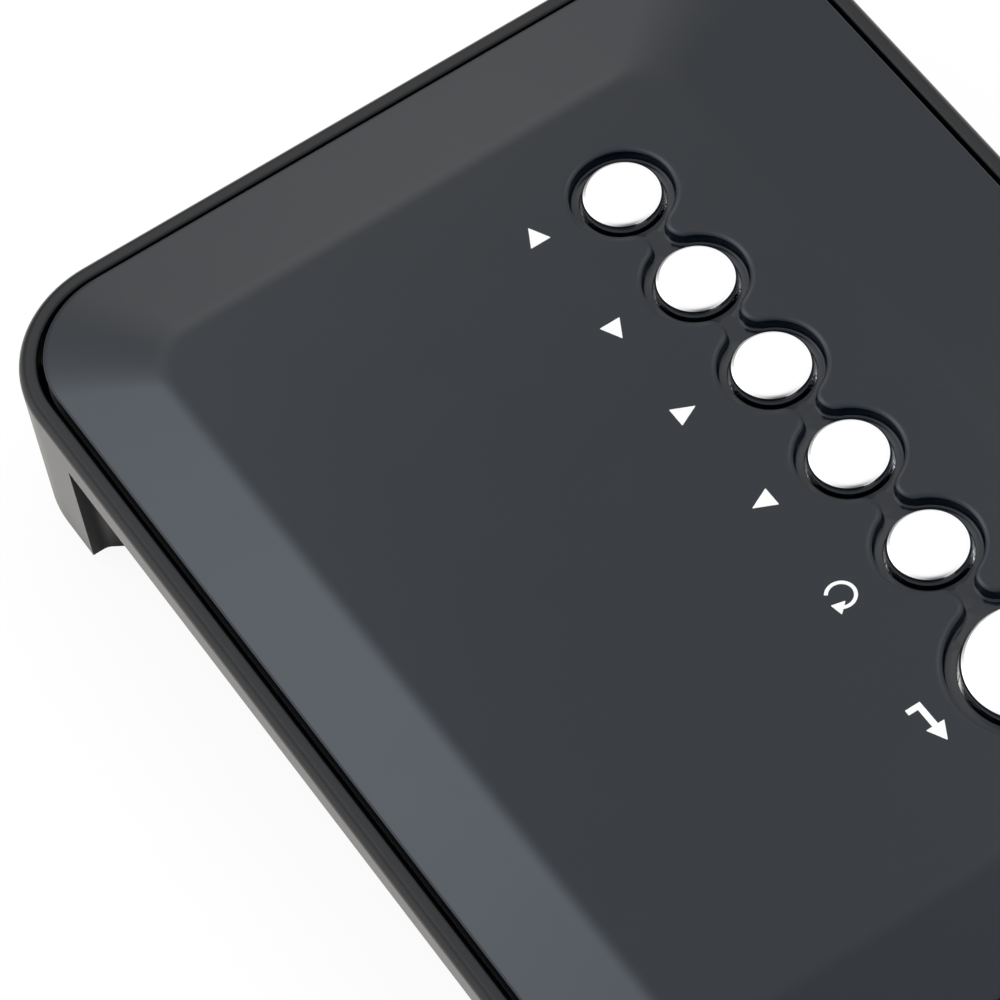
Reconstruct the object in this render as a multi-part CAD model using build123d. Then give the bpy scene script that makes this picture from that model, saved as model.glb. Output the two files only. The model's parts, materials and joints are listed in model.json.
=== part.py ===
"""Small solid-state media player: moulded case, glossy domed panel, six plated buttons and the
boards and sockets inside.

Millimetres, +Z up, +X to the reader's right, +Y to the rear where the plugs go in.
The origin is the centre of the footprint, on the surface that the rubber feet stand on.
"""
import os

from build123d import *

# Case
BODY_WIDTH = 124.2
BODY_DEPTH = 93.0
BODY_HEIGHT = 22.0            # from the table to the flat of the top panel
BODY_CORNER_RADIUS = 13.0
WALL = 2.0
SHOULDER_RADIUS = 1.0         # rounded edge round the outside of the rim
FOOT_STAND = 1.8              # air under the case
SEAT_CLEARANCE = 0.15         # between pieces that drop into one another

# Domed top panel
PANEL_GAP = 0.6               # dark groove round the panel
PANEL_RISE = 0.5              # panel edge above the rim
PANEL_CROWN = 1.2             # flat centre above the panel edge
PANEL_CORNER_RADIUS = 10.4
PANEL_EDGE_BREAK = 0.3        # bevel round the panel's edge
PANEL_SKIRT = 2.3
PANEL_THICKNESS = 2.0
SIDE_BAND = 11.65             # sloping border left and right of the flat
REAR_BAND = 9.3
FRONT_BAND = 18.05
FLAT_CORNER_RADIUS = 3.6
CREASE_WIDTH = 1.0            # soft bend, each side of the line where the borders begin
CREASE_DROP = 0.1
LEDGE_WIDTH = 3.4             # shelf that the panel sits on
LEDGE_THICKNESS = 1.4
PEG_RADIUS = 0.9              # locating pegs under the panel
PEG_SPACING = 46.0

# Button row
BUTTON_PITCH = 13.0
OK_BUTTON_STEP = 16.2         # from the last small button to the large one
ROW_SHIFT = 1.2               # middle of the row, right of the panel's middle
BUTTON_FRONT_INSET = 30.4     # row from the panel's front edge
SMALL_CAP_RADIUS = 4.1
OK_CAP_RADIUS = 6.6
SMALL_POCKET_FLOOR = 0.95     # flat ring of pocket floor round a hole
OK_POCKET_FLOOR = 1.25
POCKET_DEPTH = 1.3
POCKET_NECK = 2.1             # channel that joins neighbouring pockets
POCKET_NECK_FILLET = 1.2
POCKET_EDGE_BREAK = 0.35
CAP_CLEARANCE = 0.3
CAP_STAND = 0.3               # cap top above the flat
CAP_EDGE_BREAK = 0.4
CAP_WALL = 1.2
CAP_ROOF = 1.4
CAP_FLANGE_WIDTH = 0.9
CAP_FLANGE_HEIGHT = 1.0
CAP_FLANGE_GAP = 0.2
CAP_STEM_RADIUS = 1.6
CAP_STEM_DROP = 0.4           # stem end below the flange
CAP_RIB = 0.8
WELL_LENGTH = 4.6             # guide sleeve, measured down from the flat
WELL_WALL = 1.2
BUTTON_TRAVEL = 0.5

# Key board and its switches
SWITCH_SIZE = 6.0
SWITCH_HEIGHT = 2.5
SWITCH_LEG_LENGTH = 1.3
SWITCH_LEG_WIDTH = 0.7
SWITCH_LEG_HEIGHT = 0.3
SWITCH_LEG_SPACING = 4.5
PLUNGER_RADIUS = 1.7
PLUNGER_STAND = 0.9
PLUNGER_SUNK = 1.0
PLUNGER_CLEARANCE = 0.3
KEY_BOARD_THICKNESS = 1.2
KEY_BOARD_DEPTH = 16.0
KEY_BOARD_SHIFT = 1.3         # board centre behind the button row
KEY_BOARD_END = 2.6           # board beyond the end posts
KEY_POST_RADIUS = 2.5
KEY_POST_END = 9.2            # right post beyond the outer small button
OK_POST_END = 11.6            # left post beyond the large button
KEY_POST_BACK = 6.6           # middle post behind the button row
MIDDLE_POST_PITCHES = 2.5     # between the third and fourth small buttons
KEY_SCREW_RADIUS = 0.9
KEY_HOLE_DEPTH = 5.0
KEY_SCREW_TIP_GAP = 1.0       # screw tip below the end of its hole
KEY_SCREW_HEAD_RADIUS = 1.8
KEY_SCREW_HEAD_HEIGHT = 0.9

# Rear bay and its sockets
BAY_WIDTH = 87.9
BAY_DEPTH = 4.5
BAY_STRAIGHT = 1.7            # square part of the bay's end walls
BAY_TAPER = 1.9               # how far the slanted part draws in
BAY_LIP_HEIGHT = 3.85         # lip under the rim above the bay
PORT_CLEARANCE = 0.3
PORT_PITCH = 16.4
HDMI_WIDTH = 15.0
HDMI_HEIGHT = 5.6
HDMI_CHAMFER = 1.9
HDMI_LENGTH = 11.5
HDMI_TONGUE_WIDTH = 11.4
HDMI_TONGUE_THICKNESS = 1.3
USB_WIDTH = 13.2
USB_HEIGHT = 5.8
USB_LENGTH = 13.6
USB_TONGUE_WIDTH = 11.0
USB_TONGUE_THICKNESS = 1.9
USB_TONGUE_RISE = 0.9         # tongue above the middle of the shell
SOCKET_SHEET = 0.4
SOCKET_LEAD = 1.2             # tongue tip behind the socket mouth
SOCKET_SETBACK = 0.3          # socket mouth behind the outer face of its wall
JACK_WIDTH = 9.0
JACK_HEIGHT = 5.6
JACK_LENGTH = 12.0
JACK_NOZZLE_RADIUS = 2.7
JACK_BORE_RADIUS = 1.8
JACK_BORE_LENGTH = 12.5
DC_WIDTH = 8.0
DC_HEIGHT = 6.4
DC_LENGTH = 10.5
DC_NOZZLE_RADIUS = 3.0
DC_BORE_RADIUS = 2.1
DC_BORE_LENGTH = 9.0
DC_PIN_RADIUS = 0.8
DC_PIN_SETBACK = 1.0

# Side sockets
SIDE_SOCKET_GAP = 0.6         # between the key board and the sockets before and behind it
CARD_WIDTH = 26.4
CARD_LENGTH = 21.5            # a card stands out of the slot by a third
CARD_HEIGHT = 3.1
CARD_BASE_THICKNESS = 0.7
CARD_SIDE = 0.9
CARD_BLOCK = 2.4              # contact block at the back of the slot

# Front window and power light
WINDOW_SIDE_INSET = 23.8      # middle of the window from the left side
WINDOW_WIDTH = 14.0
WINDOW_HEIGHT = 6.0
WINDOW_CORNER_RADIUS = 1.4
WINDOW_FLANGE = 1.2
WINDOW_FLANGE_THICKNESS = 1.0
FRONT_PARTS_DROP = 5.4        # middle of the window below the ledge
LIGHT_STEP = 14.0             # from the window to the power light
LIGHT_PIPE_RADIUS = 1.2
LIGHT_PIPE_LENGTH = 4.4
LED_RADIUS = 1.5
LED_GAP = 0.3
LED_LENGTH = 4.0
LED_TIP_BREAK = 0.7
LED_POST_DEPTH = 1.6
RECEIVER_WIDTH = 6.0
RECEIVER_DEPTH = 4.0
RECEIVER_LENS_RADIUS = 2.2
RECEIVER_GAP = 1.2
RECEIVER_FOOT = 1.6           # lens above the board

# Bottom cover, its feet and screws
FLOOR_THICKNESS = 1.8
FLOOR_RIM_HEIGHT = 1.4
FLOOR_RIM_THICKNESS = 1.2
BOSS_RADIUS = 3.2
BOSS_INSET = 8.2              # case screw bosses out from the centre of each corner arc
BOSS_SOCKET_HEIGHT = 2.0      # raised pad in the cover under a boss
CASE_SCREW_RADIUS = 1.1
CASE_SCREW_LENGTH = 9.0
CASE_SCREW_HEAD_RADIUS = 2.2
CASE_SCREW_HEAD_HEIGHT = 1.5
CASE_SCREW_RECESS = 2.0
SCREW_FIT = 0.05
RECESS_MARGIN = 0.3
SCREW_CROSS_SHARE = 0.7       # cross recess as a share of the head
SCREW_SLOT_WIDTH = 0.6
SCREW_SLOT_DEPTH = 0.6
FOOT_RADIUS = 5.0
FOOT_SUNK = 0.5
FOOT_EDGE_BREAK = 0.6
FOOT_INSET_X = 14.8
FOOT_INSET_Y = 17.0
VENT_COUNT = 11
VENT_PITCH = 3.6
VENT_WIDTH = 1.5
VENT_LENGTH = 22.0
VENT_CENTRE_Y = 12.0
LABEL_WIDTH = 52.0
LABEL_DEPTH = 20.0
LABEL_RECESS = 0.3
LABEL_Y = -22.0

# Main board and what is soldered to it
BOARD_THICKNESS = 1.6
BOARD_SIDE_MARGIN = 2.8       # board edges inside the case walls
BOARD_FRONT_MARGIN = 2.3
BOARD_REAR_MARGIN = 0.6
BOARD_BOSS_CLEARANCE = 0.8
STANDOFF_HEIGHT = 2.4
STANDOFF_RADIUS = 2.6
STANDOFF_FRONT_INSET_X = 17.8 # front pair from the case sides
STANDOFF_REAR_INSET_X = 13.3
STANDOFF_FRONT_INSET_Y = 7.0  # from the board's front and rear edges
STANDOFF_REAR_INSET_Y = 4.2
BOARD_SCREW_RADIUS = 1.1
BOARD_SCREW_LENGTH = 3.6
BOARD_SCREW_HEAD_RADIUS = 2.2
BOARD_SCREW_HEAD_HEIGHT = 1.4
PROCESSOR_SIZE = 19.0
PROCESSOR_HEIGHT = 1.4
PROCESSOR_X = -4.0
PAD_THICKNESS = 0.5
SINK_WIDTH = 26.0
SINK_FRONT_GAP = 5.3          # behind the key board
SINK_REAR_GAP = 0.5           # before the rear jacks
SINK_BASE = 1.5
SINK_FIN_COUNT = 9
SINK_FIN_THICKNESS = 1.0
SINK_FIN_HEIGHT = 4.5
MEMORY_WIDTH = 8.0
MEMORY_DEPTH = 13.0
MEMORY_HEIGHT = 1.1
MEMORY_X = 11.5
MEMORY_REAR_GAP = 1.5         # before the rear jacks
MEMORY_PITCH_Y = 14.0
FLASH_WIDTH = 12.0
FLASH_DEPTH = 18.0
FLASH_HEIGHT = 1.1
FLASH_X = 24.0
FLASH_REAR_GAP = 2.5
CRYSTAL_LENGTH = 11.0
CRYSTAL_WIDTH = 4.6
CRYSTAL_HEIGHT = 3.6
CRYSTAL_STEP_X = 24.0         # left of the processor and behind its middle
CRYSTAL_STEP_Y = 4.0
CAPACITOR_RADIUS = 3.1
CAPACITOR_HEIGHT = 7.4
CAPACITOR_BASE = 0.9
CAPACITOR_SIDE_INSET = 8.8    # from the left side
CAPACITOR_FRONT_GAP = 5.2     # behind the key board
CAPACITOR_PITCH = 8.4
CAPACITOR_NECK = 0.4
INDUCTOR_SIZE = 7.0
INDUCTOR_HEIGHT = 4.0
COIL_STEP = 8.4               # inductor and regulator right of the capacitors
INDUCTOR_SHIFT_Y = 8.0        # from the first capacitor
REGULATOR_WIDTH = 6.6
REGULATOR_DEPTH = 6.2
REGULATOR_HEIGHT = 2.3
REGULATOR_TAB = 1.2
REGULATOR_TAB_WIDTH = 5.4
REGULATOR_TAB_THICKNESS = 0.5
REGULATOR_SHIFT_Y = -2.0

# Flat cable between the boards
CABLE_X = -23.5
CABLE_WIDTH = 9.0
CABLE_THICKNESS = 0.3
CABLE_LOOP_OUT = 9.5          # straight run beyond the key board connector
CABLE_RUN_BACK = 2.5          # straight run into the main board connector
CONNECTOR_WIDTH = 11.6
CONNECTOR_DEPTH = 3.6
CONNECTOR_HEIGHT = 2.0
CONNECTOR_SLOT_Z = 1.0
KEY_CONNECTOR_BACK = 5.2      # connector centre behind the button row

# Heights
PANEL_EDGE_Z = BODY_HEIGHT - PANEL_CROWN
RIM_Z = PANEL_EDGE_Z - PANEL_RISE
PANEL_SEAT_Z = PANEL_EDGE_Z - PANEL_SKIRT
PANEL_UNDER_Z = BODY_HEIGHT - PANEL_THICKNESS
LEDGE_Z = PANEL_SEAT_Z - LEDGE_THICKNESS
LIP_Z = RIM_Z - BAY_LIP_HEIGHT
WELL_Z = BODY_HEIGHT - WELL_LENGTH
CAP_TOP_Z = BODY_HEIGHT + CAP_STAND
FLANGE_TOP_Z = WELL_Z - CAP_FLANGE_GAP
FLANGE_Z = FLANGE_TOP_Z - CAP_FLANGE_HEIGHT
PLUNGER_TOP_Z = FLANGE_Z - CAP_STEM_DROP
SWITCH_TOP_Z = PLUNGER_TOP_Z - PLUNGER_STAND
KEY_BOARD_TOP_Z = SWITCH_TOP_Z - SWITCH_HEIGHT
KEY_BOARD_Z = KEY_BOARD_TOP_Z - KEY_BOARD_THICKNESS
FLOOR_Z = FOOT_STAND + FLOOR_THICKNESS
BOARD_Z = FLOOR_Z + STANDOFF_HEIGHT
BOARD_TOP_Z = BOARD_Z + BOARD_THICKNESS
BOSS_Z = FLOOR_Z + BOSS_SOCKET_HEIGHT
FRONT_PARTS_Z = LEDGE_Z - FRONT_PARTS_DROP
SINK_Z = BOARD_TOP_Z + PROCESSOR_HEIGHT + PAD_THICKNESS

# Plan positions
HALF_WIDTH = BODY_WIDTH / 2
HALF_DEPTH = BODY_DEPTH / 2
PANEL_INSET = WALL + PANEL_GAP
PANEL_WIDTH = BODY_WIDTH - 2 * PANEL_INSET
PANEL_DEPTH = BODY_DEPTH - 2 * PANEL_INSET
FLAT_WIDTH = PANEL_WIDTH - 2 * SIDE_BAND
FLAT_DEPTH = PANEL_DEPTH - FRONT_BAND - REAR_BAND
FLAT_Y = (FRONT_BAND - REAR_BAND) / 2
ROW_Y = BUTTON_FRONT_INSET - PANEL_DEPTH / 2
ROW_SPAN = 4 * BUTTON_PITCH + OK_BUTTON_STEP
FIRST_X = ROW_SHIFT + ROW_SPAN / 2
OK_X = ROW_SHIFT - ROW_SPAN / 2
BAY_WALL_Y = HALF_DEPTH - BAY_DEPTH
BAY_INNER_Y = BAY_WALL_Y - WALL
KEY_BOARD_Y = ROW_Y + KEY_BOARD_SHIFT
KEY_BOARD_FRONT_Y = KEY_BOARD_Y - KEY_BOARD_DEPTH / 2
KEY_BOARD_REAR_Y = KEY_BOARD_Y + KEY_BOARD_DEPTH / 2
BOARD_FRONT_Y = -HALF_DEPTH + WALL + BOARD_FRONT_MARGIN
BOARD_REAR_Y = BAY_INNER_Y - BOARD_REAR_MARGIN
SIDE_MOUTH_X = HALF_WIDTH - SOCKET_SETBACK
REAR_MOUTH_Y = BAY_WALL_Y - SOCKET_SETBACK
JACK_BACK_Y = REAR_MOUTH_Y - WALL - JACK_LENGTH
SIDE_USB_Y = KEY_BOARD_FRONT_Y - SIDE_SOCKET_GAP - USB_WIDTH / 2
CARD_SLOT_Y = KEY_BOARD_REAR_Y + SIDE_SOCKET_GAP + CARD_WIDTH / 2
WINDOW_X = WINDOW_SIDE_INSET - HALF_WIDTH
LIGHT_X = WINDOW_X + LIGHT_STEP
BOARD_WIDTH = BODY_WIDTH - 2 * (WALL + BOARD_SIDE_MARGIN)
SINK_FRONT_Y = KEY_BOARD_REAR_Y + SINK_FRONT_GAP
SINK_REAR_Y = JACK_BACK_Y - SINK_REAR_GAP
SINK_DEPTH = SINK_REAR_Y - SINK_FRONT_Y
PROCESSOR_Y = (SINK_FRONT_Y + SINK_REAR_Y) / 2
REAR_MEMORY_Y = JACK_BACK_Y - MEMORY_REAR_GAP - MEMORY_DEPTH / 2
FLASH_Y = JACK_BACK_Y - FLASH_REAR_GAP - FLASH_DEPTH / 2
CAPACITOR_X = CAPACITOR_SIDE_INSET - HALF_WIDTH
CAPACITOR_Y = KEY_BOARD_REAR_Y + CAPACITOR_FRONT_GAP + CAPACITOR_RADIUS
COIL_X = CAPACITOR_X + COIL_STEP

SMALL_BUTTONS = ["right", "left", "down", "up", "return"]
BUTTONS = [
    (name, FIRST_X - index * BUTTON_PITCH, SMALL_CAP_RADIUS, SMALL_POCKET_FLOOR)
    for index, name in enumerate(SMALL_BUTTONS)
] + [("ok", OK_X, OK_CAP_RADIUS, OK_POCKET_FLOOR)]

KEY_POSTS = [
    (FIRST_X + KEY_POST_END, ROW_Y),
    (FIRST_X - MIDDLE_POST_PITCHES * BUTTON_PITCH, ROW_Y + KEY_POST_BACK),
    (OK_X - OK_POST_END, ROW_Y),
]
CORNERS = [(side, end) for side in (-1, 1) for end in (-1, 1)]
BOSSES = [
    (side * (HALF_WIDTH - BODY_CORNER_RADIUS + BOSS_INSET / 2**0.5),
     end * (HALF_DEPTH - BODY_CORNER_RADIUS + BOSS_INSET / 2**0.5))
    for side, end in CORNERS
]
STANDOFFS = [
    (side * (HALF_WIDTH - inset), y)
    for side in (-1, 1)
    for inset, y in (
        (STANDOFF_FRONT_INSET_X, BOARD_FRONT_Y + STANDOFF_FRONT_INSET_Y),
        (STANDOFF_REAR_INSET_X, BOARD_REAR_Y - STANDOFF_REAR_INSET_Y),
    )
]
FEET = {
    "front_left_foot": (-1, -1),
    "front_right_foot": (1, -1),
    "rear_left_foot": (-1, 1),
    "rear_right_foot": (1, 1),
}
# Rear sockets from left to right as seen from above
DC_X, HDMI_X, COMPONENT_X, AV_X, REAR_USB_X = [(slot - 2) * PORT_PITCH for slot in range(5)]


def slab(x, y, width, depth, low, high):
    """Upright block centred on x and y."""
    return Pos(x, y, (low + high) / 2) * Box(width, depth, high - low)


def post(x, y, radius, low, high):
    """Upright cylinder."""
    return Pos(x, y, (low + high) / 2) * Cylinder(radius, high - low)


def rod_y(x, z, radius, start, end):
    """Cylinder along Y."""
    return Pos(x, (start + end) / 2, z) * Rot(90, 0, 0) * Cylinder(radius, end - start)


def outline(width, depth, radius, z, y=0):
    """Rounded rectangle at one height."""
    return Pos(0, y, z) * RectangleRounded(width, depth, radius)


def body_outline(inset, z):
    return outline(BODY_WIDTH - 2 * inset, BODY_DEPTH - 2 * inset, BODY_CORNER_RADIUS - inset, z)


def ring_of(shape, axis=Axis.Z):
    """Edges round the highest face along an axis."""
    return shape.faces().sort_by(axis)[-1].edges()


# Case


def bay_cut():
    """Space for the plugs: square at the mouth, slanted further in, open downwards."""
    half = BAY_WIDTH / 2
    mouth = HALF_DEPTH + WALL
    corner_y = HALF_DEPTH - BAY_STRAIGHT
    plan = Polyline(
        (-half, mouth), (-half, corner_y), (BAY_TAPER - half, BAY_WALL_Y),
        (half - BAY_TAPER, BAY_WALL_Y), (half, corner_y), (half, mouth), close=True,
    )
    return extrude(Pos(0, 0, FOOT_STAND - WALL) * make_face(plan), LIP_Z - FOOT_STAND + WALL)


def port_cuts():
    """Openings in the bay wall, one behind each rear socket."""
    depth = 4 * WALL
    y = BAY_WALL_Y - WALL / 2
    hdmi_z = BOARD_TOP_Z + HDMI_HEIGHT / 2
    usb_z = BOARD_TOP_Z + USB_HEIGHT / 2
    gap = 2 * PORT_CLEARANCE
    cuts = Pos(HDMI_X, y, hdmi_z) * Box(HDMI_WIDTH + gap, depth, HDMI_HEIGHT + gap)
    cuts += Pos(REAR_USB_X, y, usb_z) * Box(USB_WIDTH + gap, depth, USB_HEIGHT + gap)
    jack_z = BOARD_TOP_Z + JACK_HEIGHT / 2
    for x in (COMPONENT_X, AV_X):
        cuts += rod_y(x, jack_z, JACK_NOZZLE_RADIUS + PORT_CLEARANCE, y - WALL, y + WALL)
    dc_z = BOARD_TOP_Z + DC_HEIGHT / 2
    cuts += rod_y(DC_X, dc_z, DC_NOZZLE_RADIUS + PORT_CLEARANCE, y - WALL, y + WALL)
    return cuts


def side_cuts():
    """Openings in the right wall for the USB socket and the memory card."""
    gap = 2 * PORT_CLEARANCE
    depth = 4 * WALL
    usb = Pos(HALF_WIDTH, SIDE_USB_Y, BOARD_TOP_Z + USB_HEIGHT / 2)
    card = Pos(HALF_WIDTH, CARD_SLOT_Y, BOARD_TOP_Z + CARD_HEIGHT / 2)
    return usb * Box(depth, USB_WIDTH + gap, USB_HEIGHT + gap) + card * Box(
        depth, CARD_WIDTH + gap, CARD_HEIGHT + gap
    )


def front_cuts():
    """Openings in the front wall for the receiver's window and the power light."""
    gap = 2 * SEAT_CLEARANCE
    window = RectangleRounded(WINDOW_WIDTH + gap, WINDOW_HEIGHT + gap, WINDOW_CORNER_RADIUS)
    place = Pos(WINDOW_X, WALL - HALF_DEPTH + WALL, FRONT_PARTS_Z) * Rot(90, 0, 0)
    light_radius = LIGHT_PIPE_RADIUS + SEAT_CLEARANCE
    light = rod_y(LIGHT_X, FRONT_PARTS_Z, light_radius, -HALF_DEPTH - WALL, -HALF_DEPTH + 2 * WALL)
    return place * extrude(window, 3 * WALL) + light


def screw_boss(x, y):
    return post(x, y, BOSS_RADIUS, BOSS_Z, PANEL_SEAT_Z)


def peg_places():
    """Locating pegs along the middle of the ledge, two on the left and two on the right."""
    edge_x = HALF_WIDTH - WALL - LEDGE_WIDTH / 2
    return [(side * edge_x, end * PEG_SPACING / 2) for side, end in CORNERS]


def upper_frame():
    """Case walls and rim, the ledge under the panel, the rear bay and four screw bosses."""
    shell = extrude(body_outline(0, FOOT_STAND), RIM_Z - FOOT_STAND)
    shell = fillet(ring_of(shell), SHOULDER_RADIUS)
    shell -= extrude(body_outline(WALL, FOOT_STAND), LEDGE_Z - FOOT_STAND)
    shell -= extrude(body_outline(WALL, PANEL_SEAT_Z), RIM_Z - PANEL_SEAT_Z)
    shell -= extrude(body_outline(WALL + LEDGE_WIDTH, LEDGE_Z), LEDGE_THICKNESS)
    bay_block_depth = HALF_DEPTH - BAY_INNER_Y - WALL / 2
    shell += slab(
        0, BAY_INNER_Y + bay_block_depth / 2, BAY_WIDTH + 2 * WALL, bay_block_depth,
        FOOT_STAND, PANEL_SEAT_Z,
    )
    shell -= bay_cut()
    for x, y in BOSSES:
        shell += screw_boss(x, y)
    for x, y in BOSSES:
        shell -= post(x, y, CASE_SCREW_RADIUS + SCREW_FIT, BOSS_Z, BOSS_Z + CASE_SCREW_LENGTH)
    for x, y in peg_places():
        shell -= post(x, y, PEG_RADIUS + SEAT_CLEARANCE, LEDGE_Z - SEAT_CLEARANCE, PANEL_SEAT_Z)
    return shell - port_cuts() - side_cuts() - front_cuts()


# Panel and buttons


def panel_outline(inset, z):
    return outline(
        PANEL_WIDTH - 2 * inset, PANEL_DEPTH - 2 * inset, PANEL_CORNER_RADIUS - inset, z
    )


def flat_outline(inset, z):
    return outline(
        FLAT_WIDTH - 2 * inset, FLAT_DEPTH - 2 * inset, FLAT_CORNER_RADIUS - inset, z, FLAT_Y
    )


def dome(inset, low, edge, high, edge_break=0):
    """Straight skirt, four sloping borders, a narrow crease and a flat centre."""
    skirt = extrude(panel_outline(inset, low), edge - low)
    if edge_break:
        skirt = chamfer(ring_of(skirt), edge_break)
    crown = loft(
        [
            panel_outline(inset + edge_break, edge),
            flat_outline(-CREASE_WIDTH, high - CREASE_DROP),
            flat_outline(CREASE_WIDTH, high),
        ],
        ruled=True,
    )
    return skirt + crown


def pocket_plan():
    """Chain of round pockets joined by filleted necks."""
    plan = Sketch()
    for _, x, cap_radius, floor in BUTTONS:
        plan += Pos(x, ROW_Y) * Circle(cap_radius + CAP_CLEARANCE + floor)
    span = FIRST_X - OK_X
    plan += Pos((FIRST_X + OK_X) / 2, ROW_Y) * Rectangle(span, POCKET_NECK)
    return fillet(plan.vertices(), POCKET_NECK_FILLET)


def pocket():
    """Recess round the caps, flared where it meets the flat."""
    plan = pocket_plan()
    wall_top_z = BODY_HEIGHT - POCKET_EDGE_BREAK
    well = extrude(Pos(0, 0, BODY_HEIGHT - POCKET_DEPTH) * plan, POCKET_DEPTH)
    flare = loft(
        [Pos(0, 0, wall_top_z) * plan, Pos(0, 0, BODY_HEIGHT) * offset(plan, POCKET_EDGE_BREAK)],
        ruled=True,
    )
    return well + flare


def top_panel():
    """Glossy panel: domed shell, button pocket with guide sleeves, board posts and pegs."""
    panel = dome(0, PANEL_SEAT_Z, PANEL_EDGE_Z, BODY_HEIGHT, PANEL_EDGE_BREAK)
    underside_edge_z = PANEL_EDGE_Z - PANEL_THICKNESS
    panel -= dome(PANEL_THICKNESS, PANEL_SEAT_Z, underside_edge_z, PANEL_UNDER_Z)
    for _, x, cap_radius, _ in BUTTONS:
        sleeve = cap_radius + CAP_CLEARANCE + WELL_WALL
        panel += post(x, ROW_Y, sleeve, WELL_Z, PANEL_UNDER_Z)
    for x, y in KEY_POSTS:
        panel += post(x, y, KEY_POST_RADIUS, KEY_BOARD_TOP_Z, PANEL_UNDER_Z)
    for x, y in peg_places():
        panel += post(x, y, PEG_RADIUS, LEDGE_Z, PANEL_SEAT_Z)
    panel -= pocket()
    for _, x, cap_radius, _ in BUTTONS:
        panel -= post(x, ROW_Y, cap_radius + CAP_CLEARANCE, WELL_Z, BODY_HEIGHT)
    for x, y in KEY_POSTS:
        hole_top = KEY_BOARD_TOP_Z + KEY_HOLE_DEPTH
        panel -= post(x, y, KEY_SCREW_RADIUS + SCREW_FIT, KEY_BOARD_TOP_Z, hole_top)
    return panel


def button_cap(x, radius):
    """Hollow cap with a retaining flange, a centre stem and a cross of ribs."""
    cap = post(x, ROW_Y, radius, FLANGE_Z, CAP_TOP_Z)
    cap = chamfer(ring_of(cap), CAP_EDGE_BREAK)
    cap += post(x, ROW_Y, radius + CAP_CLEARANCE + CAP_FLANGE_WIDTH, FLANGE_Z, FLANGE_TOP_Z)
    roof_z = CAP_TOP_Z - CAP_ROOF
    cap -= post(x, ROW_Y, radius - CAP_WALL, FLANGE_Z, roof_z)
    ribs = slab(x, ROW_Y, 2 * radius - CAP_WALL, CAP_RIB, FLANGE_TOP_Z, roof_z)
    ribs += slab(x, ROW_Y, CAP_RIB, 2 * radius - CAP_WALL, FLANGE_TOP_Z, roof_z)
    return cap + ribs + post(x, ROW_Y, CAP_STEM_RADIUS, PLUNGER_TOP_Z, roof_z)


def plunger(x):
    return post(x, ROW_Y, PLUNGER_RADIUS, SWITCH_TOP_Z - PLUNGER_SUNK, PLUNGER_TOP_Z)


def switch(x):
    """Square switch body on four legs, bored for its plunger."""
    body = slab(x, ROW_Y, SWITCH_SIZE, SWITCH_SIZE, KEY_BOARD_TOP_Z, SWITCH_TOP_Z)
    for side, end in CORNERS:
        reach = SWITCH_SIZE / 2 + SWITCH_LEG_LENGTH / 2
        body += slab(
            x + side * reach, ROW_Y + end * SWITCH_LEG_SPACING / 2, SWITCH_LEG_LENGTH,
            SWITCH_LEG_WIDTH, KEY_BOARD_TOP_Z, KEY_BOARD_TOP_Z + SWITCH_LEG_HEIGHT,
        )
    bore_z = SWITCH_TOP_Z - PLUNGER_SUNK - BUTTON_TRAVEL - PLUNGER_CLEARANCE
    return body - post(x, ROW_Y, PLUNGER_RADIUS + PLUNGER_CLEARANCE, bore_z, SWITCH_TOP_Z)


# Key board


def key_board():
    left = KEY_POSTS[-1][0] - KEY_POST_RADIUS - KEY_BOARD_END
    right = KEY_POSTS[0][0] + KEY_POST_RADIUS
    board = slab(
        (left + right) / 2, KEY_BOARD_Y, right - left, KEY_BOARD_DEPTH, KEY_BOARD_Z,
        KEY_BOARD_TOP_Z,
    )
    for x, y in KEY_POSTS:
        board -= post(x, y, KEY_SCREW_RADIUS + SCREW_FIT, KEY_BOARD_Z, KEY_BOARD_TOP_Z)
    return board


def screw(x, y, seat, length, radius, head_radius, head_height, up):
    """Screw with its head on the seat. up is 1 where the tip points up."""
    shank_z = sorted((seat, seat + up * length))
    head_z = sorted((seat, seat - up * head_height))
    return post(x, y, radius, *shank_z) + post(x, y, head_radius, *head_z)


def key_board_screws():
    length = KEY_BOARD_THICKNESS + KEY_HOLE_DEPTH - KEY_SCREW_TIP_GAP
    return [
        screw(x, y, KEY_BOARD_Z, length, KEY_SCREW_RADIUS, KEY_SCREW_HEAD_RADIUS,
              KEY_SCREW_HEAD_HEIGHT, 1)
        for x, y in KEY_POSTS
    ]


KEY_CONNECTOR_Y = ROW_Y + KEY_CONNECTOR_BACK
CABLE_TOP_Z = KEY_BOARD_TOP_Z + CONNECTOR_SLOT_Z
CABLE_LOW_Z = BOARD_TOP_Z + CONNECTOR_SLOT_Z
CABLE_TURN_Y = KEY_CONNECTOR_Y + CONNECTOR_DEPTH / 2 + CABLE_LOOP_OUT


def connector(y, seat):
    """Low housing with the cable's slot in its rear face."""
    body = slab(CABLE_X, y, CONNECTOR_WIDTH, CONNECTOR_DEPTH, seat, seat + CONNECTOR_HEIGHT)
    slot = slab(
        CABLE_X, y + CONNECTOR_DEPTH / 4, CABLE_WIDTH, CONNECTOR_DEPTH / 2,
        seat + CONNECTOR_SLOT_Z - CABLE_THICKNESS / 2,
        seat + CONNECTOR_SLOT_Z + CABLE_THICKNESS / 2,
    )
    return body - slot


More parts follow.
